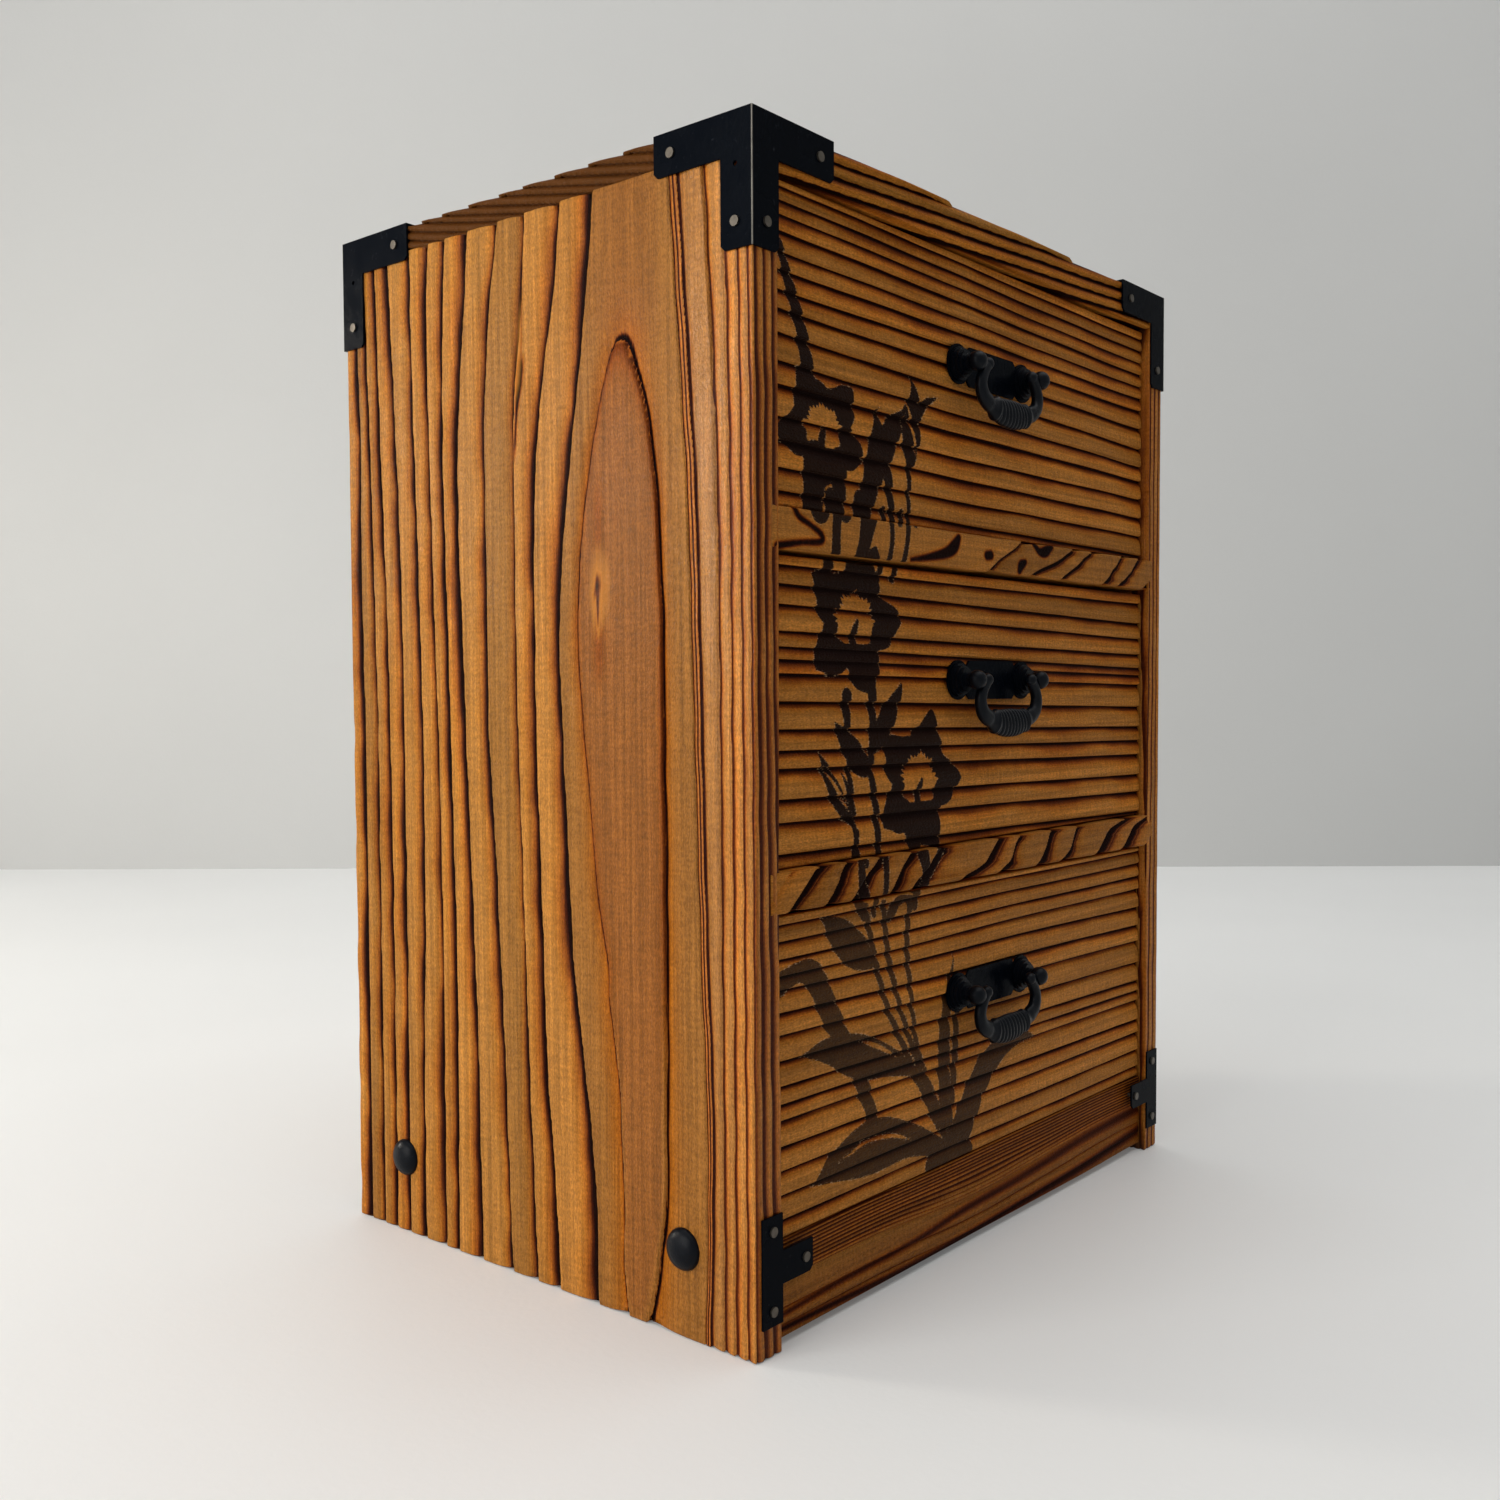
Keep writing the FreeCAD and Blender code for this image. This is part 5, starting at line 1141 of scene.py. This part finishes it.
def bail_surface(axis, half_span, eye_x, drop, radii, pivot, flutes, flute_depth):
    """Closed surfaces of one bail, as places and quads.

    The grip and arms are an ellipse carried along a smooth line through seven points on each side:
    its half height swells from arm to grip. Slanted flutes sink the front of the grip by a fifth
    power of a cosine of path length and angle, with a bead and a neck past each end. The pins
    and the eyes are profiles turned round the pin's axis. axis is the middle of the pins, radii
    are the half height and half depth of the arms and of the grip, and pivot gives the radii of
    eye and pin and the pin's reach.
    """
    # From the middle of the grip up: share of the half span, share of the drop and swelling.
    shares = ((0.0, 1.0, 1.0), (0.375, 0.98, 0.83), (0.725, 0.88, 0.38), (0.945, 0.70, 0.2),
              (1.0, 0.47, 0.05), (0.915, 0.2, 0.0))
    half = np.array([(x * half_span, -z * drop, s) for x, z, s in shares] + [(eye_x, 0.0, 0.0)])
    whole = np.concatenate([half[::-1] * (-1, 1, 1), half[1:]])
    knots = np.concatenate([[0], np.cumsum(np.hypot(*np.diff(whole[:, :2], axis=0).T))])
    s = np.linspace(0, knots[-1], 221)
    x, z, swell = (curve(knots, whole[:, k], s) for k in range(3))
    swell = np.clip(swell, 0, 1.02)
    tangent = np.stack([np.gradient(x, s), np.gradient(z, s)], 1)
    tangent /= np.linalg.norm(tangent, axis=1)[:, None]
    out = np.stack([-tangent[:, 1], tangent[:, 0]], 1)
    angle = np.linspace(0, 2 * math.pi, 48, endpoint=False)
    arm_r, arm_d, grip_r, grip_d = radii
    tall = arm_r + swell * (grip_r - arm_r)
    deep = arm_d + swell * (grip_d - arm_d)
    middle = (s - s[-1] / 2) * 1000
    taper = 1 - smooth(9.5, 10.5, np.abs(middle))
    phase = middle[:, None] * flutes / 21 + 0.45 * np.sin(angle)[None, :]
    facing = smooth(-0.2, 0.5, -np.cos(angle))[None, :]
    groove = np.abs(np.cos(math.pi * phase)) ** 5 * taper[:, None] * facing * flute_depth
    bead = 0.0005 * bell(np.abs(middle), 11.3, 0.7)
    neck = -0.0004 * bell(np.abs(middle), 14.5, 1.4)
    tall, deep = tall + bead + neck, deep + bead + neck
    up = (tall[:, None] - groove) * np.sin(angle)
    depth = (deep[:, None] - groove) * np.cos(angle)
    rows = np.stack([x[:, None] + out[:, :1] * up, depth, z[:, None] + out[:, 1:] * up], -1)
    parts = [closed_tube(rows + axis)]
    eye_r, pivot_r, reach = pivot
    turn = np.linspace(0, 2 * math.pi, 32, endpoint=False)
    for side in (-1, 1):
        t = np.linspace(-math.pi / 2, math.pi / 2, 17)
        along = np.concatenate([eye_r * np.sin(t[1:-3]), [eye_r * 0.9, reach - 0.0002, reach]])
        radius = np.concatenate([eye_r * np.cos(t[1:-3]), [pivot_r, pivot_r, pivot_r * 0.8]])
        across = np.broadcast_to(side * (eye_x + along)[:, None], (len(along), len(turn)))
        rows = np.stack([across, radius[:, None] * np.cos(turn) * side,
                         radius[:, None] * np.sin(turn)], -1)
        parts.append(closed_tube(rows + axis))
    places, quads, loops, count = [], [], [], 0
    for points, faces, caps in parts:
        places.append(points)
        quads.append(faces + count)
        loops += [cap + count for cap in caps]
        count += len(points)
    return np.concatenate(places), np.concatenate(quads), loops


def closed_tube(rows):
    """Vertices, quads and end caps of a tube given as rings of points, facing outwards: if the
    volume of the quads' cones to the middle is negative, they are turned round."""
    count, size, _ = rows.shape
    index = np.arange(count * size).reshape(count, size)
    ringed = np.concatenate([index, index[:, :1]], 1)
    points = rows.reshape(-1, 3)
    quads = grid_faces(ringed, False)
    corners = points[quads] - points.mean(0)
    volume = np.einsum("ij,ij->i", corners[:, 0], np.cross(corners[:, 1], corners[:, 2])).sum()
    caps = [index[0], index[-1][::-1]]
    if volume < 0:
        return points, quads[:, ::-1], caps
    return points, quads, [cap[::-1] for cap in caps]


class CABINET_OT_pull_bails(bpy.types.Operator):
    """Make the cast bails with their fluted grips"""
    bl_idname = "cabinet.pull_bails"
    bl_label = "Pull Bails"

    def execute(self, context):
        pull = context.scene.cabinet_pull
        material = black_iron("black cast iron, bails", tuple(pull.iron), (0.26, 0.4),
                              grain_size=700.0, depth=0.0001, shine=0.12)
        for drawer in DRAWERS:
            low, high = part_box(drawer + "_bail")
            # Half the grip's span, place of the eyes, drop of the grip, radii of eye and pin.
            half_span, eye_x, drop, eye_r, pin_r = 0.0214, 0.0168, 0.0168, 0.0025, 0.0012
            places, quads, loops = bail_surface(
                axis=np.array((0, (low.y + high.y) / 2, high.z - eye_r)), half_span=half_span,
                eye_x=eye_x, drop=drop, radii=(0.0023, 0.0022, 0.0056, 0.0032),
                pivot=(eye_r, pin_r, high.x - eye_x), flutes=pull.flutes,
                flute_depth=pull.flute_depth)
            item = make_object(drawer + "_bail_cast", places, quads, loops)
            finish_piece(item, drawer + "_bail", [drawer + "_bail"], material)
        return {"FINISHED"}


class CABINET_OT_stage(bpy.types.Operator):
    """Make the floor, the wall, the lights and the camera"""
    bl_idname = "cabinet.stage"
    bl_label = "Stage"

    def execute(self, context):
        stage = context.scene.cabinet_stage
        scene = context.scene
        for name, corners, colour in (
                ("floor", ((-6, -6, 0), (6, -6, 0), (6, 6, 0), (-6, 6, 0)), stage.floor),
                ("wall", wall_corners(), stage.wall)):
            item = make_object(name, np.array(corners, float), np.array([[0, 1, 2, 3]]))
            item.data.materials.append(painted(name + " paint", tuple(colour), stage.lift))
        for name, place, aim, size, power, colour in (
                ("window light", (-1.5, 0.25, 0.62), (0, 0, 0.22), 1.1, stage.window,
                 srgb("FFFCF8")),
                ("lamp light", (-0.83, 1.44, 0.52), (-0.15, -0.08, 0.26), 0.25, stage.lamp,
                 srgb("FFF6E8")),
                ("ceiling light", (0.2, -0.1, 2.6), (0.2, -0.1, 0), 3, stage.ceiling,
                 srgb("FFFFFF"))):
            data = bpy.data.lights.new(name, "AREA")
            data.size = size
            data.energy = power
            data.color = colour
            lamp = bpy.data.objects.new(name, data)
            lamp.location = place
            lamp.rotation_euler = (Vector(aim) - Vector(place)).to_track_quat("-Z", "Y").to_euler()
            lamp.visible_camera = False
            scene.collection.objects.link(lamp)

        world = bpy.data.worlds.new("room")
        scene.world = world
        tree, surface = new_tree(world)
        even = add(tree, "Background", {"Color": (*srgb("FBFAF8"), 1), "Strength": stage.sky})
        seen = add(tree, "Background", {"Color": (*stage.wall, 1), "Strength": 1.0})
        both = add(tree, "MixShader", (seen_directly(tree), even, seen))
        tree.links.new(both, surface)

        heading, tilt, roll = (math.radians(angle) for angle in CAMERA_TURN)
        ahead = Vector((math.sin(heading) * math.cos(tilt), math.cos(heading) * math.cos(tilt),
                        math.sin(tilt)))
        right = Vector((math.cos(heading), -math.sin(heading), 0))
        up = right.cross(ahead)
        right, up = (math.cos(roll) * right + math.sin(roll) * up,
                     -math.sin(roll) * right + math.cos(roll) * up)
        data = bpy.data.cameras.new("camera")
        data.sensor_fit = "HORIZONTAL"
        data.sensor_width = 36
        data.lens = FOCAL_LENGTH
        data.clip_start = 0.01
        camera = bpy.data.objects.new("camera", data)
        camera.matrix_world = (Matrix.Translation(CAMERA_PLACE)
                               @ Matrix((right, up, -ahead)).transposed().to_4x4())
        scene.collection.objects.link(camera)
        scene.camera = camera
        scene.view_settings.view_transform = "Standard"
        return {"FINISHED"}


def wall_corners():
    """Corners of a wall 1.79 m from the camera, turned by 1.2 degrees from square to its view."""
    heading = math.radians(CAMERA_TURN[0] + 1.2)
    ahead = np.array([math.sin(heading), math.cos(heading), 0])
    right = np.array([math.cos(heading), -math.sin(heading), 0])
    foot = np.array([-0.502, -0.401, 0]) + 1.79 * ahead
    half_width, height = 5, 3
    return [tuple(foot + right * side * half_width + np.array([0, 0, top]))
            for side, top in ((-1, 0), (1, 0), (1, height), (-1, height))]


def seen_directly(tree):
    """1 for what the camera sees, also in a reflection or through glass, and 0 for plain light."""
    rays = [add(tree, "LightPath", output=f"Is {kind} Ray")
            for kind in ("Camera", "Glossy", "Transmission")]
    either = add(tree, "Math", (rays[0], rays[1]), operation="MAXIMUM")
    return add(tree, "Math", {0: either, 1: rays[2]}, operation="MAXIMUM")


def painted(name, colour, lift):
    """Matt wall or floor paint: smooth roller marks too fine to see, and slow cloudy tone. To the
    camera and in reflections it is brighter by lift, and keeps its shadows."""
    material = bpy.data.materials.new(name)
    tree, surface = new_tree(material)
    place = add(tree, "TexCoord", output="Object")
    cloud = add(tree, "TexNoise", {"Vector": place, "Scale": 2.2, "Detail": 2.0}, "Fac")
    grit = add(tree, "TexNoise", {"Vector": place, "Scale": 350.0, "Detail": 2.0}, "Fac")
    tone = add(tree, "MapRange", (cloud, 0.3, 0.7, 0.97, 1.02))
    base = add(tree, "VectorMath", {0: colour, "Scale": tone}, operation="SCALE")
    bump = add(tree, "Bump", {"Height": grit, "Strength": 0.25, "Distance": 0.0003})
    lifted = add(tree, "Math", (seen_directly(tree), lift), operation="MULTIPLY")
    shader = add(tree, "BsdfPrincipled", {
        "Base Color": base, "Roughness": 0.55, "IOR": 1.45, "Normal": bump,
        "Emission Color": (*colour, 1), "Emission Strength": lifted})
    tree.links.new(shader, surface)
    return material


class CABINET_PT_pieces(bpy.types.Panel):
    """Lists the cabinet's pieces and settings"""
    bl_idname = "CABINET_PT_pieces"
    bl_label = "Drawer Cabinet"
    bl_space_type = "VIEW_3D"
    bl_region_type = "UI"
    bl_category = "Cabinet"

    def draw(self, context):
        layout = self.layout
        for operator in OPERATORS:
            layout.operator(operator.bl_idname)
        for name in SETTINGS:
            group = getattr(context.scene, name)
            box = layout.box()
            for key in group.bl_rna.properties.keys():
                if key not in {"rna_type", "name"}:
                    box.prop(group, key)


SETTINGS = {
    "cabinet_wood": WoodSettings,
    "cabinet_stencil": StencilSettings,
    "cabinet_pull": PullSettings,
    "cabinet_stage": StageSettings,
}

OPERATORS = (
    CABINET_OT_stage,
    CABINET_OT_side_panels,
    CABINET_OT_top_board,
    CABINET_OT_drawer_fronts,
    CABINET_OT_rails,
    CABINET_OT_kick_board,
    CABINET_OT_plain_boards,
    CABINET_OT_ironwork,
    CABINET_OT_pull_bails,
)


def register():
    for group in SETTINGS.values():
        bpy.utils.register_class(group)
    for name, group in SETTINGS.items():
        setattr(bpy.types.Scene, name, PointerProperty(type=group))
    for operator in OPERATORS:
        bpy.utils.register_class(operator)
    bpy.utils.register_class(CABINET_PT_pieces)


def unregister():
    bpy.utils.unregister_class(CABINET_PT_pieces)
    for operator in reversed(OPERATORS):
        bpy.utils.unregister_class(operator)
    for name in SETTINGS:
        delattr(bpy.types.Scene, name)
    for group in reversed(list(SETTINGS.values())):
        bpy.utils.unregister_class(group)


def main():
    """Makes every piece."""
    register()
    bpy.ops.cabinet.stage()
    bpy.ops.cabinet.side_panels()
    bpy.ops.cabinet.top_board()
    bpy.ops.cabinet.drawer_fronts()
    bpy.ops.cabinet.rails()
    bpy.ops.cabinet.kick_board()
    bpy.ops.cabinet.plain_boards()
    bpy.ops.cabinet.ironwork()
    bpy.ops.cabinet.pull_bails()


if __name__ == "__main__":
    main()
